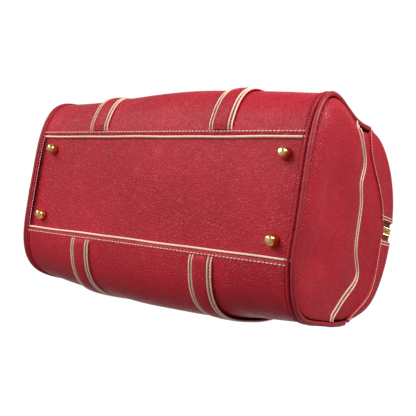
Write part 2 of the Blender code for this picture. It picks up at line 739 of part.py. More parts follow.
# ---- mouth frame and lining --------------------------------------------------------------------
def bows():
    """Two U-shaped steel bows that turn on one rivet at each end."""
    for name, side, end_x in (("front", -1, BOW_X), ("back", 1, BOW_X - BOW_STEP)):
        rise = BOW_TOP - HINGE_Z
        corner = BOW_CORNER
        arm = []
        for share in (0.0, 0.5, 1 - corner / rise):
            arm.append((end_x, side * BOW_SPLAY * share, lift(HINGE_Z + rise * share)))
        for i in range(1, 5):
            turn = math.pi / 2 * i / 4
            x = end_x - corner * (1 - math.cos(turn))
            z = BOW_TOP - corner * (1 - math.sin(turn))
            arm.append((x, side * BOW_SPLAY * (z - HINGE_Z) / rise, lift(z)))
        left = [(-x, y, z) for x, y, z in arm]
        bow = solid_mesh(tube(f"bow_{name}", left + arm[::-1], BOW_RADIUS, STEEL))
        for x_name, x_side in (("left", -1), ("right", 1)):
            place = (x_side * end_x, 0, lift(HINGE_Z))
            eye = rod(f"eye_{name}_{x_name}", EYE_RADIUS, EYE_THICK, place, (1, 0, 0))
            hole = rod(f"eye_hole_{name}_{x_name}", RIVET_RADIUS + RIVET_CLEAR, THROUGH, place, (1, 0, 0))
            combine(bow, eye, "UNION")
            combine(bow, hole, "DIFFERENCE")
    for name, side in (("left", -1), ("right", 1)):
        x_low, x_high = BOW_X - BOW_STEP - INNER_SIDE, BOW_X + EYE_SIDE
        profile = [(0, x_high), (RIVET_RADIUS, x_high), (RIVET_RADIUS, x_low), (RIVET_HEAD, x_low),
                   (RIVET_HEAD, x_low - RIVET_CAP), (0, x_low - RIVET_CAP)]
        rivet = turned(f"frame_rivet_{name}", profile, STEEL, 16)
        rivet.location = (0, 0, lift(HINGE_Z))
        rivet.rotation_euler = (0, side * math.pi / 2, 0)


def lining():
    """Cloth lining as an open bucket inside the body, with a slip pocket on its back wall."""
    heights = [LINING_FLOOR + (LINING_TOP - LINING_FLOOR) * share for share in LINING_RINGS]
    count = 28
    rows = []
    for z in heights:
        wide = width_at(z, LENGTH / 2) - LINING_INSET
        long = LINING_HALF - (LINING_TUCK if z == heights[0] else 0.0)
        ring = []
        for i in range(count):
            turn = 2 * math.pi * i / count
            c, s = math.cos(turn), math.sin(turn)
            x = long * math.copysign(abs(c) ** LINING_SQUARE, c)
            y = wide * math.copysign(abs(s) ** LINING_SQUARE, s)
            ring.append(placed(x, y, z))
        rows.append(ring)
    bm = bmesh.new()
    verts = [[bm.verts.new(p) for p in ring] for ring in rows]
    for low, high in zip(verts, verts[1:]):
        for i in range(count):
            j = (i + 1) % count
            bm.faces.new((low[i], low[j], high[j], high[i]))
    bm.faces.new(verts[0][::-1])
    data = bpy.data.meshes.new("lining")
    bm.to_mesh(data)
    bm.free()
    item = add("lining", data, CLOTH)
    wall = item.modifiers.new("wall", "SOLIDIFY")
    wall.thickness = LINING_THICK
    wall.offset = -1
    half, low, high = POCKET
    rows = []
    for i in range(6):
        z = low + (high - low) * i / 5
        y = width_at(z, LENGTH / 2) - LINING_INSET - LINING_THICK - POCKET_OFF
        rows.append([(x, y, lift(z)) for x in stations(5, half)])
    sheet("inner_pocket", rows, LINING_THICK, CLOTH, 0)


base()
face_panels()
ends()
piping()
straps()
handles()
top_panels()
zip_closure()
bows()
lining()
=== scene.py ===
# %% [markdown]
# # A zip-top doctor bag in red leather
#
# The bag is soft leather over a stiff base and a hinged steel mouth. Its skeleton comes packed as a
# fixed frame, with a named body for each thing that moves. Everything built here is the bag's skin:
# panels, piping, stitching, straps, handles and metal, each laid exactly where the frame says.

# %% Setting out
import json
import math

import bmesh
import bpy
import numpy as np
from mathutils import Matrix, Vector


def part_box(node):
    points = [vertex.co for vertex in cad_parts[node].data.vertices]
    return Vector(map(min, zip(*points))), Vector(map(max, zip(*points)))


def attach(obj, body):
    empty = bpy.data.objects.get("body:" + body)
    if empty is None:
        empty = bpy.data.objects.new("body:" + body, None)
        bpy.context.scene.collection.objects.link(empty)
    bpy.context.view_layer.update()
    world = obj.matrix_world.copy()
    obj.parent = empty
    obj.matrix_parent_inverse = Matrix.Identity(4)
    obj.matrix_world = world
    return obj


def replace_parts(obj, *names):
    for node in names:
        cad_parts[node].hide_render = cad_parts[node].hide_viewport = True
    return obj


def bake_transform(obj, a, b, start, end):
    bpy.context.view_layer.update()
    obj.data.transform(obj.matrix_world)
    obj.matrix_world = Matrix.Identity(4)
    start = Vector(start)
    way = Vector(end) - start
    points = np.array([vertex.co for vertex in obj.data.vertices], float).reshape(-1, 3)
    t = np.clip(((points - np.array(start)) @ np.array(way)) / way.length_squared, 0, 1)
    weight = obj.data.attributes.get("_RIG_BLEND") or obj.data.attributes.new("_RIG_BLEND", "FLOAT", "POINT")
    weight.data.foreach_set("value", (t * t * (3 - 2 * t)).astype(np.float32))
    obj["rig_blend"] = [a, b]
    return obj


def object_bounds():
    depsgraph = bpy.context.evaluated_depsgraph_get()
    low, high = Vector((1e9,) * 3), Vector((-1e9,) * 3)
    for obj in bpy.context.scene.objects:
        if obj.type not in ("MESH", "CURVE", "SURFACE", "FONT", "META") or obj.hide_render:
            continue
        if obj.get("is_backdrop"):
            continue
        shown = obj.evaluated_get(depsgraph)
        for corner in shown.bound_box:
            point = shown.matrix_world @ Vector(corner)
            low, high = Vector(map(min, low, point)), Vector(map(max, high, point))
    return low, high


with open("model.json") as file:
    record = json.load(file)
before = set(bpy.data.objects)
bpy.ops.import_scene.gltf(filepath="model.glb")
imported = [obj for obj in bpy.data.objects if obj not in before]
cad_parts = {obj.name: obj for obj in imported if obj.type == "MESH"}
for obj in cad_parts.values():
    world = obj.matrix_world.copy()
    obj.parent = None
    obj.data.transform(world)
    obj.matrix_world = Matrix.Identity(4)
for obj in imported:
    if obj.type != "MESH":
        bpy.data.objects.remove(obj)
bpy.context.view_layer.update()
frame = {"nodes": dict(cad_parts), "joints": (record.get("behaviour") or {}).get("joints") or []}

# %% [markdown]
# ## The form of the body
#
# Cut across, the bag is one rounded outline: nearly square below its widest line and arched above it.
# Two superellipses give that outline by rule, so a panel, a strap and a row of stitches can all ask the
# same functions where the leather is. Drawing each by eye would leave gaps where they meet.

# %% Sizes of the body, in metres, heights above the base
LENGTH, END_SLOPE = 0.374, 0.070
BASE_HALF, END_HALF, BULGE = 0.056, 0.109, 0.011
WIDEST, TOP, SEAM = 0.085, 0.252, 0.142
LEATHER, FOOT_HEIGHT = 0.002, 0.006
LOWER, UPPER = 4.0, 2.2
FRONT, BACK = -1, 1
SIDES = (("front", FRONT), ("back", BACK))
ENDS = (("left", -1), ("right", 1))


def half_width(x):
    """Half the body's width at its widest line."""
    return END_HALF + BULGE * np.cos(np.pi * np.asarray(x) / LENGTH) ** 2


def evenly(line, count):
    """A line of points resampled to count points at equal steps along it."""
    line = np.asarray(line, float)
    run = np.concatenate([[0], np.cumsum(np.linalg.norm(np.diff(line, axis=0), axis=1))])
    want = np.linspace(0, run[-1], count)
    return np.column_stack([np.interp(want, run, line[:, k]) for k in range(line.shape[1])])


def upper_angle(height):
    """The angle on the upper outline whose point is at a height."""
    return math.asin(((height - WIDEST) / (TOP - WIDEST)) ** (UPPER / 2))


def upper_angle_at(y, x=LENGTH / 2):
    """The angle on the upper outline whose point is at a half width."""
    return math.acos(min(1.0, y / float(half_width(x))) ** (UPPER / 2))


def upper_outline(angle, x, inset=0.0):
    """(y, z) on the upper outline, moved in by an inset."""
    a, b = half_width(x), TOP - WIDEST
    c, s = np.cos(angle), np.sin(angle)
    y, z = a * np.abs(c) ** (2 / UPPER), b * np.abs(s) ** (2 / UPPER)
    slope_y, slope_z = (y / a) ** (UPPER - 1) / a, (z / b) ** (UPPER - 1) / b
    size = np.hypot(slope_y, slope_z)
    return y - inset * slope_y / size, WIDEST + z - inset * slope_z / size


def outline(x, start, stop, count):
    """The outer face at x, from half width start on the base up to height stop, as (y, z)."""
    hw = float(half_width(x))
    low = np.linspace(math.asin((start / hw) ** (LOWER / 2)), math.pi / 2, 90)
    lower = np.column_stack([hw * np.sin(low) ** (2 / LOWER),
                             WIDEST * (1 - np.abs(np.cos(low)) ** (2 / LOWER))])
    high = np.linspace(0, upper_angle(stop), 50)[1:]
    upper = np.column_stack(upper_outline(high, x))
    return evenly(np.vstack([lower, upper]), count)


def moved_in(line, distance):
    """A (y, z) line moved towards the inside of the bag."""
    step = np.gradient(np.asarray(line), axis=0)
    step /= np.linalg.norm(step, axis=1)[:, None]
    return line + distance * np.column_stack([-step[:, 1], step[:, 0]])


def placed(x, y, z):
    """Points of the body on its studs, its ends leaning in towards the top."""
    x, y, z = np.broadcast_arrays(np.asarray(x, float), y, z)
    return np.stack([x * (1 - END_SLOPE * z / (LENGTH / 2)), y, z + FOOT_HEIGHT], axis=-1)


# %% [markdown]
# ## Slack in the leather
#
# A used bag is never its pattern: leather swells between seams and slumps where nothing holds it. Each
# slack place is a smooth push with a centre and a reach, and every piece of the skin passes through the
# same pushes, so a strap dips with the panel below it. A cloth simulation would move the seams too.

# %% Pushes that soften the form
SLACK = (   # centre, push, reach
    ((-0.065, -0.118, 0.062), (0, 0.0100, 0), (0.105, 0.05, 0.034)),
    ((-0.065, -0.118, 0.112), (0, 0.0085, 0), (0.105, 0.05, 0.045)),
    ((0.060, -0.118, 0.086), (0, 0.0025, 0), (0.050, 0.05, 0.045)),
    ((0.190, -0.104, 0.112), (0, 0.0150, 0.0), (0.042, 0.05, 0.050)),
    ((-0.120, 0.112, 0.080), (0, 0.0060, 0), (0.060, 0.05, 0.050)),
    ((0.010, 0.118, 0.090), (0, 0.0020, 0), (0.060, 0.05, 0.040)),
    ((0.075, 0.116, 0.056), (0, 0.0022, 0), (0.030, 0.05, 0.030)),
    ((0.175, 0.075, 0.205), (0, 0.0060, 0.0030), (0.045, 0.05, 0.040)),
    ((0.186, -0.020, 0.076), (-0.0065, 0, 0), (0.05, 0.050, 0.040)),
    ((0.186, 0.050, 0.051), (-0.0045, 0, 0), (0.05, 0.022, 0.040)),
    ((0.186, 0.020, 0.156), (-0.0030, 0, 0), (0.05, 0.040, 0.018)),
    ((-0.186, 0.015, 0.076), (0.0060, 0, 0), (0.05, 0.045, 0.040)),
    ((-0.186, -0.045, 0.106), (-0.0020, 0, 0), (0.05, 0.020, 0.030)),
    ((0.060, -0.060, 0.231), (0, 0, -0.0030), (0.050, 0.030, 0.03)),
    ((-0.050, 0.060, 0.231), (0, 0, -0.0030), (0.060, 0.030, 0.03)),
)


def slackened(points):
    """Points of the skin after every push, and a gentle wander; the base and its studs stay put."""
    points = np.asarray(points, float)
    moved = points.copy()
    for centre, push, reach in SLACK:
        near = np.exp(-(((points - centre) / reach) ** 2).sum(-1))
        moved = moved + near[..., None] * np.array(push)
    x, y, z = points[..., 0], points[..., 1], points[..., 2]
    wander = np.sin(31 * x + 9 * z + 1.2) * np.sin(43 * z + 7 * x) + 0.5 * np.sin(67 * x - 40 * z + 0.5)
    free = np.clip((z - 0.030) / 0.040, 0, 1) * np.clip((TOP + FOOT_HEIGHT - z) / 0.020, 0, 1)
    moved[..., 1] += 0.0009 * wander * free * np.tanh(y / 0.05)
    return moved


# %% [markdown]
# ## Two ways to make a piece
#
# Nearly all the skin is one of two things. A panel is a grid of points with a leather wall behind it and
# its edges rolled over. An edging, piping, strap or loop is one outline swept along a path. Both are
# written straight as closed meshes, so nothing is left for a modifier to guess.

# %% Making meshes
PIECES = []


def finished(name, points, faces, finish, smooth=True):
    """A closed mesh at the origin with its faces turned outwards and its material on."""
    data = bpy.data.meshes.new(name)
    data.from_pydata([tuple(p) for p in np.asarray(points).reshape(-1, 3)], [], faces)
    bm = bmesh.new()
    bm.from_mesh(data)
    bmesh.ops.remove_doubles(bm, verts=bm.verts, dist=1e-7)
    bmesh.ops.recalc_face_normals(bm, faces=bm.faces)
    bm.to_mesh(data)
    bm.free()
    return registered(name, data, finish, smooth)


def registered(name, data, finish, smooth=True):
    """A mesh as an object of the scene, with where each point lies at rest kept for the patterns."""
    if smooth:
        data.shade_smooth()
        data.set_sharp_from_angle(angle=math.radians(52))
    rest = data.attributes.new("rest", "FLOAT_VECTOR", "POINT")
    place = np.empty(len(data.vertices) * 3, np.float32)
    data.vertices.foreach_get("co", place)
    rest.data.foreach_set("vector", place)
    data.materials.clear()
    data.materials.append(finish)
    made = bpy.data.objects.new(name, data)
    bpy.context.scene.collection.objects.link(made)
    PIECES.append(made)
    return made


def grid_normals(grid):
    """Unit normals of a grid of points."""
    along, up = np.gradient(grid, axis=1), np.gradient(grid, axis=0)
    normal = np.cross(along, up)
    return normal / np.maximum(np.linalg.norm(normal, axis=-1), 1e-12)[..., None]


def edge_distance(grid, edges):
    """How far each grid point is from the nearest named edge: low, high, left or right."""
    up = np.concatenate([np.zeros((1, grid.shape[1])),
                         np.cumsum(np.linalg.norm(np.diff(grid, axis=0), axis=2), axis=0)])
    across = np.concatenate([np.zeros((grid.shape[0], 1)),
                             np.cumsum(np.linalg.norm(np.diff(grid, axis=1), axis=2), axis=1)], axis=1)
    runs = {"low": up, "high": up[-1] - up, "left": across, "right": across[:, -1:] - across}
    return np.min([runs[e] for e in edges], axis=0)


def panel(name, grid, finish, outward, roll=0.0016, edges=("low", "high", "left", "right"),
          thick=LEATHER, puff=0.0, puff_reach=0.008):
    """A leather panel: the grid is its outer face, its edges roll over and it may puff between them."""
    normal = grid_normals(grid)
    if np.sum(normal * outward) < 0:
        normal = -normal
    away = edge_distance(grid, edges)
    dip = np.clip(roll - away, 0, roll)
    drop = roll - np.sqrt(np.maximum(roll ** 2 - dip ** 2, 0)) if roll else 0 * away
    swell = puff * (1 - np.exp(-away / puff_reach))
    outer = grid + normal * (swell - drop)[..., None]
    inner = grid - normal * thick
    rows, cols = grid.shape[:2]
    count = rows * cols
    index = np.arange(count).reshape(rows, cols)
    a, b, c, d = index[:-1, :-1], index[:-1, 1:], index[1:, 1:], index[1:, :-1]
    quads = np.stack([a, b, c, d], -1).reshape(-1, 4)
    faces = quads.tolist() + (quads[:, ::-1] + count).tolist()
    rim = np.concatenate([index[0], index[1:, -1], index[-1, -2::-1], index[-2:0:-1, 0]])
    after = np.roll(rim, -1)
    faces += np.stack([after, rim, rim + count, after + count], -1).tolist()
    return finished(name, np.vstack([outer.reshape(-1, 3), inner.reshape(-1, 3)]), faces, finish)


def swept(name, path, across, outward, profile, finish, closed=False, scale=None):
    """A closed outline of (across, outward) sizes carried along a path, capped unless the path is closed."""
    path, profile = np.asarray(path, float), np.asarray(profile, float)
    across = np.broadcast_to(np.asarray(across, float), path.shape)
    outward = np.broadcast_to(np.asarray(outward, float), path.shape)
    size = np.ones(len(path)) if scale is None else np.asarray(scale)
    rings = (path[:, None] + size[:, None, None] * (across[:, None] * profile[None, :, :1]
                                                    + outward[:, None] * profile[None, :, 1:2]))
    n, m = rings.shape[:2]
    index = np.arange(n * m).reshape(n, m)
    here, there = index, np.roll(index, -1, axis=0)
    if not closed:
        here, there = index[:-1], index[1:]
    quads = np.stack([here, np.roll(here, -1, 1), np.roll(there, -1, 1), there], -1).reshape(-1, 4)
    faces = quads.tolist()
    if not closed:
        faces += [index[0][::-1].tolist(), index[-1].tolist()]
    return finished(name, rings.reshape(-1, 3), faces, finish)


def unit(v):
    """Vectors of length one."""
    v = np.asarray(v, float)
    return v / np.maximum(np.linalg.norm(v, axis=-1, keepdims=True), 1e-12)


def beside(path, outward):
    """Unit directions across a path, square to it and to the outward directions."""
    return unit(np.cross(unit(np.gradient(np.asarray(path), axis=0)), outward))


def round_outline(radius, count, flat=1.0):
    """A circle, or an oval flattened outwards."""
    turn = np.linspace(0, 2 * np.pi, count, endpoint=False)
    return np.column_stack([radius * np.cos(turn), radius * flat * np.sin(turn)])


def cord_of(name, path, radius, finish, closed=False, sides=16, scale=None, flat=1.0):
    """A round cord or wire along a path, its ends rounded when it is open."""
    path = np.asarray(path, float)
    step = np.roll(path, -1, 0) - np.roll(path, 1, 0) if closed else np.gradient(path, axis=0)
    step = unit(step)
    lean = unit(np.cross(step[0], np.cross([0.31, 0.22, 0.92], step[0])))
    leans = [lean]
    for t in step[1:]:
        lean = unit(leans[-1] - t * np.dot(leans[-1], t))
        leans.append(lean)
    leans = np.array(leans)
    size = np.ones(len(path)) if scale is None else np.asarray(scale, float)
    if not closed:
        tip = np.array([0.45, 0.80, 0.96])
        inset = radius * np.array([0.0, 0.35, 0.75])
        path = np.vstack([path[0] + step[0] * inset[:, None], path[1:-1], path[-1] - step[-1] * inset[::-1, None]])
        leans = np.vstack([np.repeat(leans[:1], 3, 0), leans[1:-1], np.repeat(leans[-1:], 3, 0)])
        step = np.vstack([np.repeat(step[:1], 3, 0), step[1:-1], np.repeat(step[-1:], 3, 0)])
        size = np.concatenate([tip * size[0], size[1:-1], tip[::-1] * size[-1]])
    return swept(name, path, leans, np.cross(step, leans), round_outline(radius, sides, flat), finish,
                 closed, size)


def turned(name, profile, centre, finish, steps=48, axis=(0, 0, 1)):
    """A turned piece from (radius, height) points, both ends on its axis or the profile closed."""
    turn = np.linspace(0, 2 * np.pi, steps, endpoint=False)
    rings = np.array([[(r * math.cos(t), r * math.sin(t), h) for t in turn] for r, h in profile])
    spin = np.array(Vector((0, 0, 1)).rotation_difference(Vector(axis)).to_matrix())
    rings = rings @ spin.T + np.array(centre)
    n = len(profile)
    index = np.arange(n * steps).reshape(n, steps)
    here, there = index[:-1], index[1:]
    if profile[0][0] > 0:
        here, there = index, np.roll(index, -1, 0)
    quads = np.stack([here, np.roll(here, -1, 1), np.roll(there, -1, 1), there], -1).reshape(-1, 4)
    return finished(name, rings, quads.tolist(), finish)


# %% [markdown]
# ## Writing materials as sums
#
# A finish is arithmetic on patterns. Wrapping a socket in a small class lets that arithmetic be written
# as ordinary Python, each operator adding its Math node. Every other node comes from one method that is
# told the node's type, its settings and its sockets.

# %% A socket that can be added, taken away and multiplied
class Wire:
    """An output socket of a node tree, usable in sums."""

    def __init__(self, tree, socket):
        self.tree, self.socket = tree, socket

    def joined(self, operation, first, second):
        node = self.tree.nodes.new("ShaderNodeMath")
        node.operation = operation
        for spot, value in zip(node.inputs, (first, second)):
            if isinstance(value, Wire):
                self.tree.links.new(value.socket, spot)
            else:
                spot.default_value = value
        return Wire(self.tree, node.outputs[0])

    def __add__(self, other):
        return self.joined("ADD", self, other)

    def __sub__(self, other):
        return self.joined("SUBTRACT", self, other)

    def __rsub__(self, other):
        return self.joined("SUBTRACT", other, self)

    def __mul__(self, other):
        return self.joined("MULTIPLY", self, other)

    def __pow__(self, other):
        return self.joined("POWER", self, other)

    __radd__, __rmul__ = __add__, __mul__


class Tree:
    """A node tree with one method that adds a node."""

    def __init__(self, tree):
        self.tree = tree

    def node(self, kind, settings=None, sockets=None, out=0):
        """A node of a type, with its settings first and then its sockets' values or links."""
        made = self.tree.nodes.new(kind)
        for key, value in (settings or {}).items():
            if key == "stops":
                for stop, (place, level) in zip(made.color_ramp.elements, value):
                    stop.position, stop.color = place, (level, level, level, 1)
            else:
                setattr(made, key, value)
        for key, value in (sockets or {}).items():
            if isinstance(value, Wire):
                self.tree.links.new(value.socket, made.inputs[key])
            else:
                made.inputs[key].default_value = value
        return Wire(self.tree, made.outputs[out])

    def blend(self, factor, first, second):
        """One colour going over to another."""
        return self.node("ShaderNodeMix", {"data_type": "RGBA"}, {0: factor, 6: first, 7: second}, 2)


def colour(red, green, blue):
    """A colour with full alpha."""
    return (red, green, blue, 1.0)


def new_finish(name):
    """A material with its tree, its Principled shader and where the pattern lies."""
    made = bpy.data.materials.new(name)
    made.use_nodes = True
    tree = Tree(made.node_tree)
    shader = made.node_tree.nodes["Principled BSDF"]
    where = tree.node("ShaderNodeAttribute", {"attribute_name": "rest"}, {}, "Vector")
    return made, tree, shader, where


def link(wire, shader, socket):
    """A wire into one of the shader's sockets."""
    wire.tree.links.new(wire.socket, shader.inputs[socket])


# %% [markdown]
# ## Leather
#
# Milled leather is a field of small pebbles parted by fine creases, with slow changes of tone where dye
# took more or less. Over that tone, soft patches go over to a lighter pink as painted sheen, a painted
# highlight and not wear. Smooth Voronoi cells, stretched and bent by noise, make the pebbles. They drive the
# bump, and faintly the colour and gloss, because creases hold more dye and less polish.

# %% Leather finishes
def leather(name, main, deep, sheen_tint, roughness, grain, depth, coat):
    """A grained, lightly coated leather."""
    made, tree, shader, where = new_finish(name)
    bend = tree.node("ShaderNodeTexNoise", {}, {"Vector": where, "Scale": 190, "Detail": 2}, "Color")
    bent = tree.node("ShaderNodeMix", {"data_type": "VECTOR"}, {0: 0.0016, 4: where, 5: bend}, 1)
    cell = tree.node("ShaderNodeTexVoronoi", {"feature": "DISTANCE_TO_EDGE"}, {"Vector": bent, "Scale": grain})
    crease = tree.node("ShaderNodeValToRGB", {"stops": ((0.0, 0.0), (0.32, 1.0))}, {"Fac": cell}, 0)
    pebble = tree.node("ShaderNodeRGBToBW", {}, {"Color": crease})
    fine = tree.node("ShaderNodeTexNoise", {}, {"Vector": where, "Scale": 900, "Detail": 2})
    soft = tree.node("ShaderNodeTexNoise", {}, {"Vector": where, "Scale": 75, "Detail": 3, "Roughness": 0.6})
    slow = tree.node("ShaderNodeTexNoise", {}, {"Vector": where, "Scale": 11, "Detail": 3})
    deepened = (1 - pebble) * 0.35 + (0.62 - slow) * 0.9
    body = tree.blend(tree.node("ShaderNodeClamp", {}, {"Value": deepened}), colour(*main), colour(*deep))
    # Painted sheen: where soft and slow noise rise, the colour goes over to the third, lighter pink colour given to the
    # leather; it stands in for gloss catching the light, not for rubbed wear.
    painted_sheen = tree.node("ShaderNodeClamp", {}, {"Value": (soft - 0.50) * 1.6 + (slow - 0.5) * 0.8})
    link(tree.blend(painted_sheen * 0.45, body, colour(*sheen_tint)), shader, "Base Color")
    link((1 - pebble) * 0.12 + (0.5 - soft) * 0.30 + (slow - 0.5) * 0.14 + roughness, shader, "Roughness")
    height = pebble * 0.55 + fine * 0.20 + soft * 1.1
    bump = tree.node("ShaderNodeBump", {}, {"Height": height, "Strength": 0.75, "Distance": depth})
    link(bump, shader, "Normal")
    shader.inputs["Coat Weight"].default_value = coat
    shader.inputs["Coat Roughness"].default_value = 0.34
    shader.inputs["Specular IOR Level"].default_value = 0.20
    return made


# The third colour of each leather is the lighter tint of its painted sheen.
RED = leather("red_leather", (0.440, 0.007, 0.020), (0.225, 0.002, 0.008), (0.58, 0.028, 0.056),
              0.38, 430, 0.00110, 0.08)
DARK = leather("piping_leather", (0.340, 0.010, 0.021), (0.200, 0.004, 0.010), (0.48, 0.028, 0.046),
               0.34, 620, 0.00036, 0.24)
CREAM = leather("cream_edge", (0.88, 0.70, 0.55), (0.58, 0.38, 0.26), (0.95, 0.86, 0.76),
                0.58, 500, 0.00012, 0.05)

# %% [markdown]
# ## Thread, cloth and metal
#
# Thread is twisted, so it carries fine slanting ridges. Cloth is a weave of two crossed waves. Polished
# brass is nearly even, but handling leaves it dull in soft patches, and those show as changes of
# roughness far more than of colour.

# %% Thread, cloth, board and metal finishes
def twisted(name, main, deep):
    """Waxed thread."""
    made, tree, shader, where = new_finish(name)
    strand = tree.node("ShaderNodeTexWave", {"bands_direction": "DIAGONAL"},
                       {"Vector": where, "Scale": 520, "Distortion": 1.5})
    patch = tree.node("ShaderNodeTexNoise", {}, {"Vector": where, "Scale": 130, "Detail": 2})
    tone = tree.node("ShaderNodeClamp", {}, {"Value": (1 - strand) * 0.35 + (patch - 0.45) * 1.1})
    link(tree.blend(tone, colour(*main), colour(*deep)), shader, "Base Color")
    link(patch * 0.2 + 0.5, shader, "Roughness")
    link(tree.node("ShaderNodeBump", {}, {"Height": strand, "Strength": 0.5, "Distance": 0.0001}), shader, "Normal")
    return made


def woven(name, main, deep, threads, roughness=0.85, coords=None):
    """Plain cloth with its threads running along X and the height."""
    made, tree, shader, where = new_finish(name)
    if coords:
        where = tree.node("ShaderNodeTexCoord", {}, {}, coords)
    one = tree.node("ShaderNodeTexWave", {"bands_direction": "X"}, {"Vector": where, "Scale": threads})
    two = tree.node("ShaderNodeTexWave", {"bands_direction": "Z"}, {"Vector": where, "Scale": threads})
    three = tree.node("ShaderNodeTexWave", {"bands_direction": "Y"}, {"Vector": where, "Scale": threads})
    weave = one * 0.4 + two * 0.4 + three * 0.4
    slow = tree.node("ShaderNodeTexNoise", {}, {"Vector": where, "Scale": 40, "Detail": 4})
    tone = tree.node("ShaderNodeClamp", {}, {"Value": (0.9 - weave) * 0.6 + (slow - 0.5) * 0.6})
    link(tree.blend(tone, colour(*main), colour(*deep)), shader, "Base Color")
    link(slow * 0.1 + roughness, shader, "Roughness")
    link(tree.node("ShaderNodeBump", {}, {"Height": weave, "Strength": 0.6, "Distance": 0.0002}), shader, "Normal")
    return made


def metal(name, main, deep, roughness, brushed, coords=None):
    """Metal with dulled patches and faint scratches."""
    made, tree, shader, where = new_finish(name)
    if coords:
        where = tree.node("ShaderNodeTexCoord", {}, {}, coords)
    patch = tree.node("ShaderNodeTexNoise", {}, {"Vector": where, "Scale": 110, "Detail": 4, "Roughness": 0.65})
    hair = tree.node("ShaderNodeTexNoise", {}, {"Vector": where, "Scale": 1500, "Detail": 3})
    tone = tree.node("ShaderNodeClamp", {}, {"Value": (patch - 0.42) * 2.2})
    link(tree.blend(tone, colour(*main), colour(*deep)), shader, "Base Color")
    link((patch - 0.5) * 0.25 + (hair - 0.5) * brushed + roughness, shader, "Roughness")
    link(tree.node("ShaderNodeBump", {}, {"Height": hair, "Strength": brushed, "Distance": 0.00003}), shader, "Normal")
    shader.inputs["Metallic"].default_value = 1.0
    return made


THREAD = twisted("cream_thread", (0.88, 0.70, 0.55), (0.55, 0.34, 0.25))
PINK_THREAD = twisted("rosy_thread", (0.86, 0.52, 0.45), (0.52, 0.20, 0.18))
DULL_THREAD = twisted("tan_thread", (0.42, 0.17, 0.12), (0.20, 0.05, 0.04))
TAPE = woven("zip_tape", (0.150, 0.012, 0.020), (0.070, 0.006, 0.010), 900)
CLOTH = woven("lining_cloth", (0.50, 0.38, 0.26), (0.34, 0.25, 0.16), 520)
BOARD = woven("base_board", (0.33, 0.23, 0.14), (0.20, 0.13, 0.08), 60, 0.8, "Object")
BRASS = metal("brass", (0.86, 0.60, 0.22), (0.66, 0.42, 0.14), 0.17, 0.10)
STEEL = metal("frame_steel", (0.60, 0.61, 0.63), (0.44, 0.45, 0.47), 0.36, 0.25, "Object")
print(len(bpy.data.materials), "finishes")

# %% [markdown]
# ## Stitching by rule
#
# A row of stitches is one thread shape repeated along a line, so Geometry Nodes lay it: the line is cut
# into equal steps, a small thread is put on each, turned to lie along the line and flat on the leather,
# and the copies are made real. Each line carries its outward direction with it as an attribute.

# %% A Geometry Nodes tree with named sizes
def new_tool(name, sizes):
    """A Geometry Nodes tree with a geometry input and named sizes, and the wires of its inputs."""
    made = bpy.data.node_groups.new(name, "GeometryNodeTree")
    made.interface.new_socket("Lines", in_out="INPUT", socket_type="NodeSocketGeometry")
    made.interface.new_socket("Pieces", in_out="OUTPUT", socket_type="NodeSocketGeometry")
    for label, value in sizes.items():
        kind = "NodeSocketInt" if isinstance(value, int) else "NodeSocketFloat"
        made.interface.new_socket(label, in_out="INPUT", socket_type=kind).default_value = value
    made.interface.new_socket("Finish", in_out="INPUT", socket_type="NodeSocketMaterial")
    start = made.nodes.new("NodeGroupInput")
    return Tree(made), {spot.name: Wire(made, spot) for spot in start.outputs if spot.name}


def ended(tree, pieces, finish):
    """The tree's end: copies made real, smooth, and given their finish."""
    real = tree.node("GeometryNodeRealizeInstances", {}, {"Geometry": pieces})
    smooth = tree.node("GeometryNodeSetShadeSmooth", {}, {"Geometry": real})
    painted = tree.node("GeometryNodeSetMaterial", {}, {"Geometry": smooth, "Material": finish})
    last = tree.tree.nodes.new("NodeGroupOutput")
    tree.tree.links.new(painted.socket, last.inputs[0])
    return tree.tree


def stepped(tree, lines, step):
    """Lines cut to equal steps, with the turn that lays a thing along each, flat on the leather."""
    curve = tree.node("GeometryNodeMeshToCurve", {}, {"Mesh": lines})
    cut = tree.node("GeometryNodeResampleCurve", {"mode": "LENGTH"}, {"Curve": curve, "Length": step})
    outward = tree.node("GeometryNodeInputNamedAttribute", {"data_type": "FLOAT_VECTOR"}, {"Name": "outward"})
    along = tree.node("GeometryNodeInputTangent")
    turn = tree.node("FunctionNodeAxesToRotation", {"primary_axis": "Z", "secondary_axis": "X"},
                     {"Primary Axis": outward, "Secondary Axis": along})
    return cut, turn


def stitching_tool():
    """Threads along lines: each sinks at both ends and leans a little off its line."""
    tree, sizes = new_tool("stitch_rows", {"Step": 0.0044, "Thread Length": 0.0034, "Thread Radius": 0.0005,
                                           "Lean": 0.12, "Seed": 7})
    cut, turn = stepped(tree, sizes["Lines"], sizes["Step"])
    stray = tree.node("FunctionNodeRandomValue", {"data_type": "FLOAT"},
                      {2: 0.88, 3: 1.08, "Seed": sizes["Seed"]}, 1)
    lean = tree.node("ShaderNodeCombineXYZ", {}, {"Z": sizes["Lean"] * stray})
    turn = tree.node("FunctionNodeRotateRotation", {"rotation_space": "LOCAL"}, {"Rotation": turn, "Rotate By": lean})
    size = tree.node("ShaderNodeCombineXYZ", {}, {"X": sizes["Thread Length"] * stray * 0.56,
                                                  "Y": sizes["Thread Radius"], "Z": sizes["Thread Radius"] * 0.8})
    thread = tree.node("GeometryNodeMeshUVSphere", {}, {"Segments": 8, "Rings": 6, "Radius": 1.0})
    upright = tree.node("GeometryNodeTransform", {}, {"Geometry": thread, "Rotation": (0, math.pi / 2, 0)})
    laid_on = tree.node("GeometryNodeInstanceOnPoints", {}, {"Points": cut, "Instance": upright,
                                                             "Rotation": turn, "Scale": size})
    return ended(tree, laid_on, sizes["Finish"])


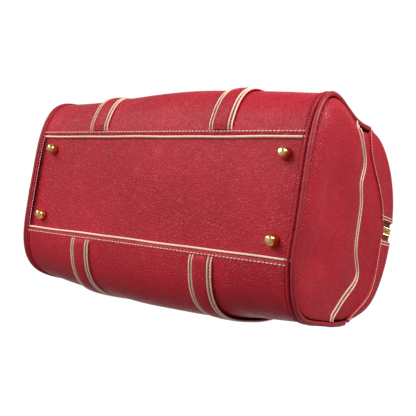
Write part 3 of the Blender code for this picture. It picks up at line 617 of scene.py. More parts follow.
def teeth_tool():
    """Zip teeth along lines: a leg clamped on the tape and a rounded head at the middle of the chain."""
    tree, sizes = new_tool("zip_teeth", {"Step": 0.0023, "Leg": 0.0034, "Thickness": 0.0019, "Way": 1.0, "Seed": 3})
    cut, turn = stepped(tree, sizes["Lines"], sizes["Step"])
    leg_size = tree.node("ShaderNodeCombineXYZ", {}, {"X": 0.0012, "Y": sizes["Leg"], "Z": sizes["Thickness"]})
    leg = tree.node("GeometryNodeMeshCube", {}, {"Size": leg_size})
    head = tree.node("GeometryNodeMeshCylinder", {"fill_type": "NGON"},
                     {"Vertices": 10, "Radius": 0.00105, "Depth": sizes["Thickness"] * 0.92})
    reach = tree.node("ShaderNodeCombineXYZ", {}, {"Y": sizes["Leg"] * 0.5 * sizes["Way"]})
    head = tree.node("GeometryNodeTransform", {}, {"Geometry": head, "Translation": reach})
    both = tree.tree.nodes.new("GeometryNodeJoinGeometry")
    for part in (leg, head):
        tree.tree.links.new(part.socket, both.inputs[0])
    laid_on = tree.node("GeometryNodeInstanceOnPoints", {}, {"Points": cut, "Instance": Wire(tree.tree, both.outputs[0]),
                                                             "Rotation": turn})
    return ended(tree, laid_on, sizes["Finish"])


STITCH_TOOL, TEETH_TOOL = stitching_tool(), teeth_tool()


def laid(name, lines, tool, sizes, finish, smooth=True):
    """A tool run along lines of (points, outward), as one plain mesh."""
    points = np.vstack([p for p, _ in lines])
    outward = np.vstack([np.broadcast_to(o, np.shape(p)) for p, o in lines])
    edges, start = [], 0
    for p, _ in lines:
        edges += [(start + i, start + i + 1) for i in range(len(p) - 1)]
        start += len(p)
    data = bpy.data.meshes.new(name + "_lines")
    data.from_pydata(points.tolist(), edges, [])
    data.attributes.new("outward", "FLOAT_VECTOR", "POINT").data.foreach_set("vector", outward.astype(np.float32).ravel())
    guide = bpy.data.objects.new(name + "_lines", data)
    bpy.context.scene.collection.objects.link(guide)
    step = guide.modifiers.new("lay", "NODES")
    step.node_group = tool
    for spot in tool.interface.items_tree:
        if spot.in_out == "INPUT" and spot.name in sizes:
            step[spot.identifier] = sizes[spot.name]
        if spot.name == "Finish":
            step[spot.identifier] = finish
    made = bpy.data.meshes.new_from_object(guide.evaluated_get(bpy.context.evaluated_depsgraph_get()))
    bpy.data.objects.remove(guide)
    for extra in [a.name for a in made.attributes if a.name == "outward"]:
        made.attributes.remove(made.attributes[extra])
    return registered(name, made, finish, smooth)


def joined(name, parts, finish):
    """Several pieces of one finish as one."""
    bm = bmesh.new()
    for part in parts:
        bm.from_mesh(part.data)
        PIECES.remove(part)
        bpy.data.objects.remove(part)
    layer = bm.verts.layers.float_vector.get("rest")
    if layer:
        bm.verts.layers.float_vector.remove(layer)
    data = bpy.data.meshes.new(name)
    bm.to_mesh(data)
    bm.free()
    return registered(name, data, finish)


def on(body, piece, *nodes):
    """A piece that moves with a body and stands for some of the frame's nodes."""
    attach(piece, body)
    if nodes:
        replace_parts(piece, *nodes)
    return piece


SEAM_ROW = {"Step": 0.0043, "Thread Length": 0.0034, "Thread Radius": 0.00062, "Lean": 0.10, "Seed": 7}
CLOSE_ROW = {"Step": 0.0033, "Thread Length": 0.0027, "Thread Radius": 0.00055, "Lean": 0.16, "Seed": 11}
FINE_ROW = {"Step": 0.0030, "Thread Length": 0.0024, "Thread Radius": 0.00038, "Lean": 0.10, "Seed": 5}
CHANNEL_ROW = {"Step": 0.0034, "Thread Length": 0.0021, "Thread Radius": 0.00055, "Lean": 0.10, "Seed": 3}
ROWS = {}    # (body, tool sizes' name) -> lines waiting to be stitched


def stitch(group, points, outward, above=0.0003):
    """A line of stitches to be laid with its group, a little above the leather."""
    points = np.asarray(points, float)
    outward = np.broadcast_to(np.asarray(outward, float), points.shape)
    ROWS.setdefault(group, []).append((points + above * outward, outward))


# %% [markdown]
# ## Base
#
# The base is one flat piece of leather over a stiff board, with four domed brass studs to keep it off the
# ground. The studs are turned on a lathe, so each is one outline spun round its axis.

# %% Base leather and studs
BASE_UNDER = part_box("base_panel")[0].z
BASE_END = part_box("base_panel")[1].x
FACE_END = LENGTH / 2 - 0.0045

across, along = np.meshgrid(np.linspace(-BASE_END, BASE_END, 130), np.linspace(-0.0585, 0.0585, 46))
crown = 0.0008 * np.cos(np.pi / 2 * across / BASE_END) * np.cos(np.pi / 2 * along / 0.0585)
base = panel("base_leather", np.stack([across, along, BASE_UNDER - crown], -1), RED,
             (0, 0, -1), roll=0.0008)
on("root", base, "base_panel")


def stud(name, node):
    """A domed stud, with its shank up through the base."""
    low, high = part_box(node)
    radius, flat, under = (high.x - low.x) / 2, 0.0016, BASE_UNDER - 0.0003
    outline_points = [(0, high.z), (0.0020, high.z), (0.0022, high.z - 0.0003), (0.0022, under), (radius * 0.94, under),
                      (radius, under - 0.0004), (radius, under - 0.0008)]
    for turn in np.linspace(0, math.pi / 2, 15):
        outline_points.append((flat + (radius - flat) * math.cos(turn), (under - 0.0010) * (1 - math.sin(turn))))
    outline_points.append((0, 0.0))
    return turned(name, outline_points, ((low.x + high.x) / 2, (low.y + high.y) / 2, 0), BRASS)


for side_name, side in SIDES:
    for end_name, end in ENDS:
        node = f"foot_{side_name}_{end_name}"
        on("root", stud(f"stud_{side_name}_{end_name}", node), node)

# %% [markdown]
# ## Front and back leather
#
# Each long side is a single sheet, sewn over the base along a cut edge that is left raw and cream. The
# sheet is a fine grid laid on the body's outline; the raw edge is a half-round strip beside it, and a row
# of stitches runs just behind.

# %% Face panels, their raw edges and seam stitches
for side_name, side in SIDES:
    xs = np.linspace(-FACE_END, FACE_END, 150)
    lines = np.array([outline(x, BASE_HALF, SEAM, 84) for x in xs])
    face = slackened(placed(xs[:, None], side * lines[..., 0], lines[..., 1])).transpose(1, 0, 2)
    on("root", panel(f"{side_name}_leather", face, RED, (0, side, -0.5), roll=0.0015),
       f"{side_name}_panel")
    xs = np.linspace(-FACE_END + 0.0008, FACE_END - 0.0008, 160)
    ripple = 0.0003 * np.sin(55 * xs) * np.sin(23 * xs + side)
    edge = slackened(placed(xs, side * (BASE_HALF - 0.0014 + ripple), BASE_UNDER - FOOT_HEIGHT - 0.0013))
    profile = [(-0.0010, -0.0013), (-0.0010, 0.0008), (-0.0008, 0.0014), (-0.0004, 0.0017), (0.0002, 0.0018),
               (0.0007, 0.0016), (0.0010, 0.0012), (0.0010, -0.0013)]
    profile = [(a * side, o) for a, o in profile]
    on("root", swept(f"raw_edge_{side_name}", edge, (0, 1, 0), (0, 0, -1), profile, CREAM))
    row = [outline(x, BASE_HALF + 0.0035, SEAM, 3)[0] for x in xs[2:-2]]
    row = np.array(row)
    stitch(("root", "seam"), slackened(placed(xs[2:-2], side * row[:, 0], row[:, 1])), (0, 0.08 * side, -1))

# %% [markdown]
# ## Ends
#
# Each end has three layers: a lower panel, a narrow trim with two raw cream ridges and a stitched channel
# between them, and a band that runs up behind the top's folded edge. Round the outside goes a
# leather-covered cord, the piping, with the hem of the long side as a second ridge beside it.

# %% Lines across the ends
TRIM_SLACK = {1: ((0.056, 0.019, 0.021), (-0.038, 0.017, -0.010), (-0.098, 0.020, -0.008)),
              -1: ((-0.040, 0.030, 0.008), (0.050, 0.022, -0.006))}
CAP_SLACK = {1: ((-0.068, 0.036, -0.024), (0.068, 0.030, 0.013)),
             -1: ((0.060, 0.036, -0.014), (-0.060, 0.030, 0.006))}
END_FACE = LENGTH / 2 - 0.0015
END_INSET = 0.0042


def pulled(y, slack):
    """How far slack pulls a line across the end up or down, nothing at its very ends."""
    hold = np.clip(1 - np.abs(y / 0.107) ** 10, 0, 1)
    return hold * sum(rise * np.exp(-((y - centre) / reach) ** 2) for centre, reach, rise in slack)


def trim_height(y, end):
    """Height of the trim across an end."""
    return 0.095 + 0.040 * (1 - np.minimum(1, np.abs(y) / 0.100) ** 3) + pulled(y, TRIM_SLACK[end])


def cap_height(y, end):
    """Height of the top's folded edge across an end."""
    return 0.136 + 0.0675 * (1 - np.minimum(1, np.abs(y) / 0.100) ** 2) + pulled(y, CAP_SLACK[end])


def fold(y, z, end):
    """How far an end stands out behind the soft fold that runs beside its piping, mostly on the front side."""
    down = np.clip((WIDEST - z) / WIDEST, 0, 1)
    beside_piping = END_HALF * (1 - down ** LOWER) ** (1 / LOWER) - np.abs(y)
    over_piping = z - WIDEST * (1 - (1 - np.clip(np.abs(y) / END_HALF, 0, 1) ** LOWER) ** (1 / LOWER))
    share = np.clip(np.minimum(beside_piping, over_piping) - 0.003, 0, 1) / 0.0125
    front = np.clip(0.45 - y / 0.12, 0, 1) if end > 0 else 0.35
    fade = np.clip((0.138 - z) / 0.045, 0, 1)
    return 0.0062 * front * fade * share / (1 + share ** 7) ** (1 / 7)


def on_end(y, z, end, out=0.0):
    """Points on an end's face, or outside it."""
    return slackened(placed(end * (END_FACE + out + fold(y, z, end)), y, z))


def ridged(name, path, outward, spots, width, height, body="root"):
    """Half-round raw edges beside a path, joined into one piece."""
    side = beside(path, outward)
    turn = np.linspace(0, np.pi, 8)
    parts = []
    for number, spot in enumerate(spots):
        profile = [(spot + width / 2 * math.cos(t), height * math.sin(t) ** 0.7) for t in turn]
        profile += [(spot - width / 2, -0.0004), (spot + width / 2, -0.0004)]
        parts.append(swept(f"{name}_{number}", path, side, outward, profile, CREAM))
    return on(body, joined(name, parts, CREAM))


# %% End panels, bands and trims
for end_name, end in ENDS:
    x = END_FACE
    border = moved_in(outline(x, 0.002, 0.125, 240), END_INSET)
    lower = border[: int(np.argmin(np.abs(border[:, 1] - WIDEST)))]
    wide = float(np.max(lower[:, 0]))
    share = np.sin(np.linspace(-np.pi / 2, np.pi / 2, 101))
    ys = wide * share
    floor = np.interp(np.abs(ys), lower[:, 0], lower[:, 1])
    roof = trim_height(ys, end) + 0.0005
    rise = np.linspace(0, 1, 60)[:, None]
    zs = floor + (roof - floor) * rise
    grid = on_end(np.broadcast_to(ys, zs.shape), zs, end)
    on("root", panel(f"end_leather_{end_name}", grid, RED, (end, 0, 0), roll=0.0018,
                     edges=("low", "left", "right"), puff=0.0022, puff_reach=0.006), f"end_panel_{end_name}")

    bottom_y, top_y = np.linspace(-wide + 0.0004, wide - 0.0004, 90), np.linspace(-0.0995, 0.0995, 90)
    low_z, high_z = trim_height(bottom_y, end) - 0.0005, cap_height(top_y, end) + 0.0098
    rise = np.linspace(0, 1, 30)[:, None]
    ys, zs = bottom_y + (top_y - bottom_y) * rise, low_z + (high_z - low_z) * rise
    on("root", panel(f"band_leather_{end_name}", on_end(ys, zs, end), RED, (end, 0, 0),
                     roll=0.0012, edges=("left", "right"), puff=0.0010), f"end_band_{end_name}")

    ys = evenly(np.column_stack([np.linspace(-wide, wide, 200), trim_height(np.linspace(-wide, wide, 200), end)]), 150)
    path = on_end(ys[:, 0], ys[:, 1], end, 0.0014)
    outward = unit(np.broadcast_to((end, 0, 0.07), path.shape))
    profile = [(-0.0037, -0.0008), (-0.0037, 0.0005), (-0.0031, 0.0010), (0.0031, 0.0010), (0.0037, 0.0005),
               (0.0037, -0.0008)]
    on("root", swept(f"trim_{end_name}", path, beside(path, outward), outward, profile, DARK),
       f"end_trim_{end_name}")
    ridged(f"trim_edges_{end_name}", path + 0.0008 * outward, outward, (-0.0028, 0.0028), 0.0015, 0.0010)
    stitch(("root", "channel"), path[2:-2], outward[2:-2], 0.0011)

# %% [markdown]
# The piping is a cord under tight leather, so it is round and a little uneven, and it is one strip whose
# two ends meet in a short lap.

# %% Piping and hems
for end_name, end in ENDS:
    line = moved_in(outline(LENGTH / 2 - 0.0013, 0.0005, 0.134, 130), 0.0010)
    around = np.vstack([line[::-1] * (-1, 1), line])
    path = slackened(placed(end * (LENGTH / 2 - 0.0013), around[:, 0], around[:, 1]))
    run = np.linspace(0, 40, len(path))
    lap = 0.11 * np.exp(-((around[:, 0] + 0.012 * end) / 0.004) ** 6)
    uneven = 1 + 0.035 * np.sin(run * 2.1) * np.sin(run * 0.9) + lap
    on("root", cord_of(f"piping_cord_{end_name}", path, 0.00250, DARK, sides=16, scale=uneven),
       f"piping_{end_name}")
    line = moved_in(outline(FACE_END - 0.0016, 0.0005, 0.140, 130), -0.0001)
    around = np.vstack([line[::-1] * (-1, 1), line])
    path = slackened(placed(end * (FACE_END - 0.0016), around[:, 0], around[:, 1]))
    on("root", cord_of(f"hem_{end_name}", path, 0.0016, RED, sides=10, flat=0.8))
    line = moved_in(outline(FACE_END - 0.0052, 0.0005, 0.140, 130), -0.0001)
    around = np.vstack([line[::-1] * (-1, 1), line])
    path = slackened(placed(end * (FACE_END - 0.0052), around[:, 0], around[:, 1]))
    normal = unit(np.cross(np.gradient(path, axis=0), (1, 0, 0)))
    normal *= -np.sign(np.sum(normal * (np.array((0, 0, 0.13)) - path), axis=1))[:, None]
    stitch(("root", "tone"), path[3:-3], normal[3:-3], 0.0002)
print(len(PIECES), "pieces so far")

# %% [markdown]
# ## The top, which opens
#
# Two leather panels arch from the long sides to the zip and fold down over both ends. When the mouth
# opens, the middle of each swings out while its ends stay sewn down. A blend follows one straight
# direction only, so each panel is made in two halves that share the middle line, and each half blends
# along a direction that climbs towards the zip and in from its end.

# %% Lines over the top
WALL, CORNER = LENGTH / 2 + 0.001, 0.018
SLOT = 0.0098
MOUTH_END = 0.1695


def half_line(angle, side, end, inset=0.0, stop=None, bottom=None):
    """From the end's lower edge, up, round the corner and along the top to the middle, as (x, y, z)."""
    corner_y, corner_z = upper_outline(angle, WALL)
    fall = max(corner_z - (bottom if bottom else float(cap_height(side * corner_y, end))), 0.004)
    radius = min(CORNER, 0.8 * fall)
    tight = max(radius - inset, 0.001)
    y, z = upper_outline(angle, WALL, inset)
    line = [(WALL - inset, y, z - fall + (fall - radius) * s + inset) for s in np.linspace(0, 1, 10)]
    for turn in np.linspace(0, math.pi / 2, 12)[1:]:
        x = WALL - radius + tight * math.cos(turn)
        y, z = upper_outline(angle, x, inset)
        line.append((x, y, z - tight * (1 - math.sin(turn))))
    for x in np.linspace(WALL - radius, 0, 40)[1:]:
        line.append((x, *upper_outline(angle, x, inset)))
    line = np.array(line)
    if stop == "mouth":
        line = np.vstack([[(MOUTH_END, *upper_outline(angle, MOUTH_END, inset))], line[line[:, 0] < MOUTH_END]])
    if stop == "end":
        line = line[line[:, 0] > MOUTH_END + 0.0005]
    return placed(end * line[:, 0], side * line[:, 1], line[:, 2])


def top_grid(side, end, widths, count, inset=0.0, stop=None, bottom=None):
    """A grid over half the top, between angles given by half widths, or from the seam if the first is None."""
    first = upper_angle(SEAM + 0.0003) if widths[0] is None else upper_angle_at(widths[0])
    angles = np.linspace(first, upper_angle_at(widths[1]), widths[2])
    return slackened(np.array([evenly(half_line(a, side, end, inset, stop, bottom), count) for a in angles]))


def opening(piece, side_name, side, end):
    """Blends half a top piece between the body and its mouth body, its end held still."""
    seam, rim = np.array((0.1035, FOOT_HEIGHT + SEAM)), np.array((SLOT, FOOT_HEIGHT + TOP))
    chord = rim - seam
    climb = chord / (chord @ chord)
    steep = 1 / (1 - 0.140 / MOUTH_END)
    slope = steep * np.array((-end / MOUTH_END, side * climb[0], climb[1]))
    start = np.array((0, side * seam[0], seam[1]))
    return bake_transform(piece, "root", f"mouth_{side_name}", tuple(start), tuple(start + slope / (slope @ slope)))


def outward_on_top(points, side):
    """Directions away from the bag, over the top and down its ends."""
    x, y, z = points[:, 0], points[:, 1], points[:, 2] - FOOT_HEIGHT
    a = np.abs(y) / half_width(x)
    b = np.clip((z - WIDEST) / (TOP - WIDEST), 0, 1)
    up = np.column_stack([0 * x, side * a ** (UPPER - 1) / half_width(x), b ** (UPPER - 1) / (TOP - WIDEST)])
    up = unit(up)
    over = np.clip((np.abs(x) / (1 - END_SLOPE * z / (LENGTH / 2)) - (WALL - CORNER)) / CORNER, 0, 1) ** 1.5
    wall = np.column_stack([np.sign(x), 0 * x, 0 * x])
    return unit(up * np.sqrt(1 - over ** 2)[:, None] + wall * over[:, None])


# %% Top panels, their edges and their stitches
for side_name, side in SIDES:
    stands_for = [f"top_panel_{side_name}"]
    for end_name, end in ENDS:
        grid = top_grid(side, end, (None, SLOT, 54), 110)
        top = panel(f"top_leather_{side_name}_{end_name}", grid, RED, (0, 0.4 * side, 1),
                    roll=0.0016, edges=("low", "high", "left"))
        opening(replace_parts(top, *stands_for), side_name, side, end)
        lines = []
        for width in (SLOT + 0.0022, SLOT + 0.0052):
            line = half_line(upper_angle_at(width), side, end)
            line = slackened(evenly(line, 240))[3:]
            lines.append((line + 0.0003 * outward_on_top(line, side), outward_on_top(line, side)))
        opening(laid(f"zip_stitches_{side_name}_{end_name}", lines, STITCH_TOOL, CLOSE_ROW, THREAD),
                side_name, side, end)
        ys = np.linspace(SLOT + 0.001, 0.1005, 90)
        hem = np.array([half_line(upper_angle_at(y), side, end)[0] for y in ys]) + (0, 0, 0.0018)
        hem = slackened(hem)
        outward = np.broadcast_to((end * 1.0, 0, 0.37), hem.shape)
        opening(laid(f"cap_stitches_{side_name}_{end_name}", [(hem + 0.0004 * unit(outward), unit(outward))],
                     STITCH_TOOL, CLOSE_ROW, THREAD), side_name, side, end)
    xs = np.linspace(-FACE_END + 0.0015, FACE_END - 0.0015, 170)
    rows = {z: np.array([upper_outline(upper_angle(z), x) for x in xs]) for z in (SEAM, SEAM - 0.0036)}
    welt = slackened(placed(xs, side * rows[SEAM][:, 0], rows[SEAM][:, 1]))
    on("root", cord_of(f"side_welt_{side_name}", welt, 0.0014, DARK, sides=10))
    below = rows[SEAM - 0.0036]
    stitch(("root", "tone"), slackened(placed(xs, side * below[:, 0], below[:, 1]))[3:-3], unit((0, side, 0.25)))

# %% [markdown]
# ## Zip
#
# A zip is two woven tapes, each with a row of brass teeth clamped to its edge. Its last part at each end
# is closed and sewn in, and never moves. The two rows of teeth are the same tree run along two lines,
# half a step apart.

# %% Tapes, teeth, slider and pull
TAPE_INSET = LEATHER + 0.0007
ZIP_FOOT = 0.2141


def zip_line(side, end, stop, width=0.0022, inset=TAPE_INSET - 0.0002):
    """The line that the middles of the teeth's legs follow on one side."""
    line = half_line(upper_angle_at(width), side, end, inset, stop, ZIP_FOOT)
    return slackened(evenly(line, 160 if stop == "mouth" else 40))


for side_name, side in SIDES:
    for end_name, end in ENDS:
        grid = top_grid(side, end, (0.0165, 0.0031, 9), 90, TAPE_INSET, "mouth")
        tape = panel(f"tape_{side_name}_{end_name}", grid, TAPE, (0, 0.1 * side, 1), roll=0, thick=0.0007)
        opening(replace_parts(tape, f"zip_tape_{side_name}"), side_name, side, end)
        line = zip_line(side, end, "mouth")
        sizes = {"Way": float(-side * end)}
        if side == BACK:
            line = line[np.linalg.norm(line - line[0], axis=1) > 0.00115]
        teeth = laid(f"teeth_{side_name}_{end_name}", [(line, outward_on_top(line, side))], TEETH_TOOL, sizes,
                     BRASS, smooth=False)
        opening(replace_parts(teeth, f"zip_teeth_{side_name}"), side_name, side, end)
        grid = top_grid(side, end, (0.0165, 0.0031, 9), 26, TAPE_INSET, "end", ZIP_FOOT)
        tape = panel(f"end_tape_{side_name}_{end_name}", grid, TAPE, (end, 0, 1), roll=0, thick=0.0007)
        on("root", tape, f"zip_end_tape_{side_name}_{end_name}")
for end_name, end in ENDS:
    lines, both = [], []
    for side_name, side in SIDES:
        line = zip_line(side, end, "end")
        if side == BACK:
            line = line[np.linalg.norm(line - line[0], axis=1) > 0.00115]
        sizes = {"Way": float(-side * end)}
        both.append(laid(f"end_teeth_{side_name}_{end_name}", [(line, outward_on_top(line, side))], TEETH_TOOL, sizes,
                         BRASS, smooth=False))
    on("root", joined(f"end_teeth_{end_name}", both, BRASS), f"zip_end_teeth_{end_name}")


def eased_block(name, size, centre, finish, ease, taper=1.0):
    """A block with eased edges, its two ends drawn in by a taper."""
    bm = bmesh.new()
    bmesh.ops.create_cube(bm, size=1.0)
    bmesh.ops.scale(bm, vec=size, verts=bm.verts)
    for vert in bm.verts:
        if vert.co.x < 0:
            vert.co.y *= taper
    bmesh.ops.bevel(bm, geom=bm.edges[:], offset=ease, segments=3, profile=0.5, affect="EDGES")
    bmesh.ops.translate(bm, verts=bm.verts, vec=centre)
    data = bpy.data.meshes.new(name)
    bm.to_mesh(data)
    bm.free()
    return registered(name, data, finish)


low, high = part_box("zip_slider")
middle = (low + high) / 2
body = eased_block("slider_plate", (high.x - low.x, high.y - low.y, 0.0030), (middle.x, 0, low.z + 0.0015), BRASS,
                   0.0007, 0.72)
pull_low, pull_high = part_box("zip_pull")
pin_z = (pull_low.z + pull_high.z) / 2
lugs = [eased_block(f"slider_lug_{k}", (0.0050, 0.0015, high.z - low.z - 0.002), (middle.x, y, (low.z + 0.002 + high.z) / 2),
                    BRASS, 0.0005) for k, y in enumerate((-0.0036, 0.0036))]
pin = turned("slider_pin", [(0, -0.0043), (0.001, -0.0043), (0.001, 0.0043), (0, 0.0043)], (middle.x, 0, pin_z), BRASS,
             20, (0, 1, 0))
on("slider", joined("slider", [body, *lugs, pin], BRASS), "zip_slider")


def pull_tab():
    """A flat tapering pull with an eye at its pin and a rounded end."""
    tip, eye, flat = pull_high.x, middle.x, 0.0008
    ring = cord_of("pull_eye", [(eye + 0.0017 * math.cos(t), 0, pin_z + 0.0017 * math.sin(t))
                                for t in np.linspace(0, 2 * np.pi, 24, endpoint=False)], 0.00062, BRASS, True, 10)
    bm = bmesh.new()
    side_line = [(eye + 0.0016, 0.0016), (eye + 0.006, 0.0019), (tip - 0.007, 0.0025), (tip - 0.003, 0.0025)]
    end_line = [(tip - 0.003 + 0.003 * math.sin(t), 0.0025 * math.cos(t)) for t in np.linspace(0.2, math.pi / 2, 8)]
    upper = side_line + end_line
    outline_points = upper + [(x, -y) for x, y in upper[-2::-1]]
    face = bm.faces.new([bm.verts.new((x, y, pin_z - flat)) for x, y in outline_points])
    grown = bmesh.ops.extrude_face_region(bm, geom=[face])
    bmesh.ops.translate(bm, verts=[v for v in grown["geom"] if isinstance(v, bmesh.types.BMVert)], vec=(0, 0, 2 * flat))
    bmesh.ops.recalc_face_normals(bm, faces=bm.faces)
    rims = [e for e in bm.edges if e.calc_face_angle(0) > 1.2]
    bmesh.ops.bevel(bm, geom=rims, offset=0.00035, segments=2, profile=0.5, affect="EDGES")
    data = bpy.data.meshes.new("pull_blade")
    bm.to_mesh(data)
    bm.free()
    return joined("pull_tab", [ring, registered("pull_blade", data, BRASS)], BRASS)


on("pull", pull_tab(), "zip_pull")

# %% [markdown]
# ## Straps and keepers
#
# Each handle hangs on two straps that run up from the base seam. A strap is a plain layer, a narrower
# domed one on top, and between their cream edges a stitched channel. It lies on the face panel, so its
# path is the body's own outline. Its end folds over the ring as a keeper.

# %% Straps, keepers and their stitches
STRAP_X, STRAP_TOP, PIVOT_Z = 0.085, 0.149, 0.165
PIVOT_Y = float(abs(next(j for j in frame["joints"] if j["name"] == "handle_back_swing")["pos_m"][1]))


def strap_path(x, start, stop, count, side, out):
    """A line up the long side at x, with its outward directions."""
    line = outline(x, start, stop, count)
    step = np.gradient(line, axis=0)
    step /= np.linalg.norm(step, axis=1)[:, None]
    away = np.column_stack([np.zeros(count), side * step[:, 1], -step[:, 0]])
    path = np.column_stack([np.full(count, x), side * line[:, 0], line[:, 1] + FOOT_HEIGHT])
    return slackened(path) + out * away, away


for side_name, side in SIDES:
    for end_name, end in ENDS:
        x = end * STRAP_X
        tag = f"{side_name}_{end_name}"
        path, away = strap_path(x, BASE_HALF + 0.0050, STRAP_TOP, 90, side, 0.0004)
        path = path - away * 0.0016 * np.exp(-(np.arange(90) / 1.6) ** 2)[:, None]
        flat = np.array([(-0.0140, 0), (-0.0140, 0.0008), (-0.0137, 0.0010),
                         (0.0137, 0.0010), (0.0140, 0.0008), (0.0140, 0)])
        under = swept(f"strap_under_{tag}", path, (1, 0, 0), away, flat, RED)
        on("root", under, f"strap_{tag}")
        dome = [(-0.0083, 0.0009), (-0.0083, 0.0018), (-0.0078, 0.0023), (-0.0060, 0.0026), (-0.0025, 0.0028),
                (0.0025, 0.0028), (0.0060, 0.0026), (0.0078, 0.0023), (0.0083, 0.0018), (0.0083, 0.0009)]
        on("root", swept(f"strap_{tag}_top", path, (1, 0, 0), away, dome, RED))
        turn = np.linspace(0, np.pi, 8)
        parts = []
        for k, (spot, width, height) in enumerate(((-0.0131, 0.0013, 0.0013), (-0.0093, 0.0013, 0.0017),
                                                   (0.0093, 0.0013, 0.0017), (0.0131, 0.0013, 0.0013))):
            profile = [(spot + width / 2 * math.cos(t), 0.0009 + height * math.sin(t) ** 0.7) for t in turn]
            profile += [(spot - width / 2, 0.0006), (spot + width / 2, 0.0006)]
            parts.append(swept(f"strap_edge_{tag}_{k}", path, (1, 0, 0), away, profile, CREAM))
        on("root", joined(f"strap_edges_{tag}", parts, CREAM))
        for spot in (-0.0111, 0.0111):
            stitch(("root", "channel"), path[1:-1] + (spot, 0, 0), away[1:-1], 0.0011)

        wire, thick = 0.00175, 0.0015
        radius = wire + 0.0003 + thick / 2 + 0.0002
        low_z = STRAP_TOP + 0.0012
        mid_z = low_z + (PIVOT_Z - low_z) * 0.45
        near_x = STRAP_X - 0.014

        def face_y(z):
            return float(upper_outline(upper_angle(z), near_x)[0]) + 0.0006 + thick

        inner = [(face_y(low_z), low_z), (face_y(mid_z), mid_z)]
        hoop = [(PIVOT_Y - radius * math.cos(t), PIVOT_Z + radius * math.sin(t)) for t in np.linspace(0, np.pi, 17)]
        outer = [(face_y(mid_z) + thick + 0.0003, mid_z), (face_y(low_z) + thick + 0.0003, low_z)]
        loop = evenly(np.array(inner + hoop + outer), 60)
        path = np.column_stack([np.full(60, x), side * loop[:, 0], loop[:, 1] + FOOT_HEIGHT])
        held = np.clip((loop[:, 1] - STRAP_TOP) / (PIVOT_Z - STRAP_TOP), 0, 1)[:, None]
        path = path * held + slackened(path) * (1 - held)
        step = unit(np.gradient(path, axis=0))
        away = np.cross(step, (1, 0, 0)) * -side
        profile = [(-0.0102, -0.00045), (-0.0102, 0.00045), (-0.0098, 0.00075), (0.0098, 0.00075), (0.0102, 0.00045),
                   (0.0102, -0.00045), (0.0098, -0.00075), (-0.0098, -0.00075)]
        on("root", swept(f"keeper_loop_{tag}", path, (1, 0, 0), away, profile, RED), f"keeper_{tag}")
        front_leg = path[-14:-2]
        face_out = np.array((0, side, 0.15))
        for spot in (-0.0084, 0.0084):
            stitch(("root", "fine"), front_leg + (spot, 0, 0), unit(face_out), 0.0008)
        foot = np.column_stack([x + np.linspace(-0.0084, 0.0084, 12), np.full(12, front_leg[-1, 1]),
                                np.full(12, front_leg[-1, 2])])
        stitch(("root", "fine"), foot, unit(face_out), 0.0008)

# %% [markdown]
# ## Handles
#
# A rolled handle is leather stitched tight round a cord, with its seam standing as a small flange on the
# inside of the curve. At each end a chape, a short strap, is folded round the ring and sewn to the
# handle. The whole handle leans in on its rings, so it is drawn upright and then tilted.

# %% Handles, chapes and rings
LEAN = math.radians(14.0)
HANDLE_START, HANDLE_STRAIGHT, HANDLE_RISE = 0.034, 0.080, 0.172 - 0.0068 - 0.080


def tilted(points, side):
    """Points drawn upright at the rings, tilted with the handle and put in place."""
    points = np.asarray(points, float)
    c, s = math.cos(side * LEAN), math.sin(side * LEAN)
    y, z = points[..., 1] * c - points[..., 2] * s, points[..., 1] * s + points[..., 2] * c
    return np.stack([points[..., 0], y + side * PIVOT_Y, z + PIVOT_Z + FOOT_HEIGHT], -1)


def turned_with(directions, side):
    """Directions tilted with the handle."""
    return tilted(directions, side) - tilted(np.zeros(3), side)


def handle_line(drop=0.0, count=150):
    """The middle of the rolled handle, or a line inside its curve."""
    legs = [(-STRAP_X + drop, 0, z) for z in np.linspace(HANDLE_START, HANDLE_STRAIGHT, 20)]
    arch = [(-(STRAP_X - drop) * math.cos(t), 0, HANDLE_STRAIGHT + (HANDLE_RISE - drop) * math.sin(t))
            for t in np.linspace(0, math.pi, 90)[1:-1]]
    return evenly(np.array(legs + arch + [(-x, y, z) for x, y, z in legs[::-1]]), count)


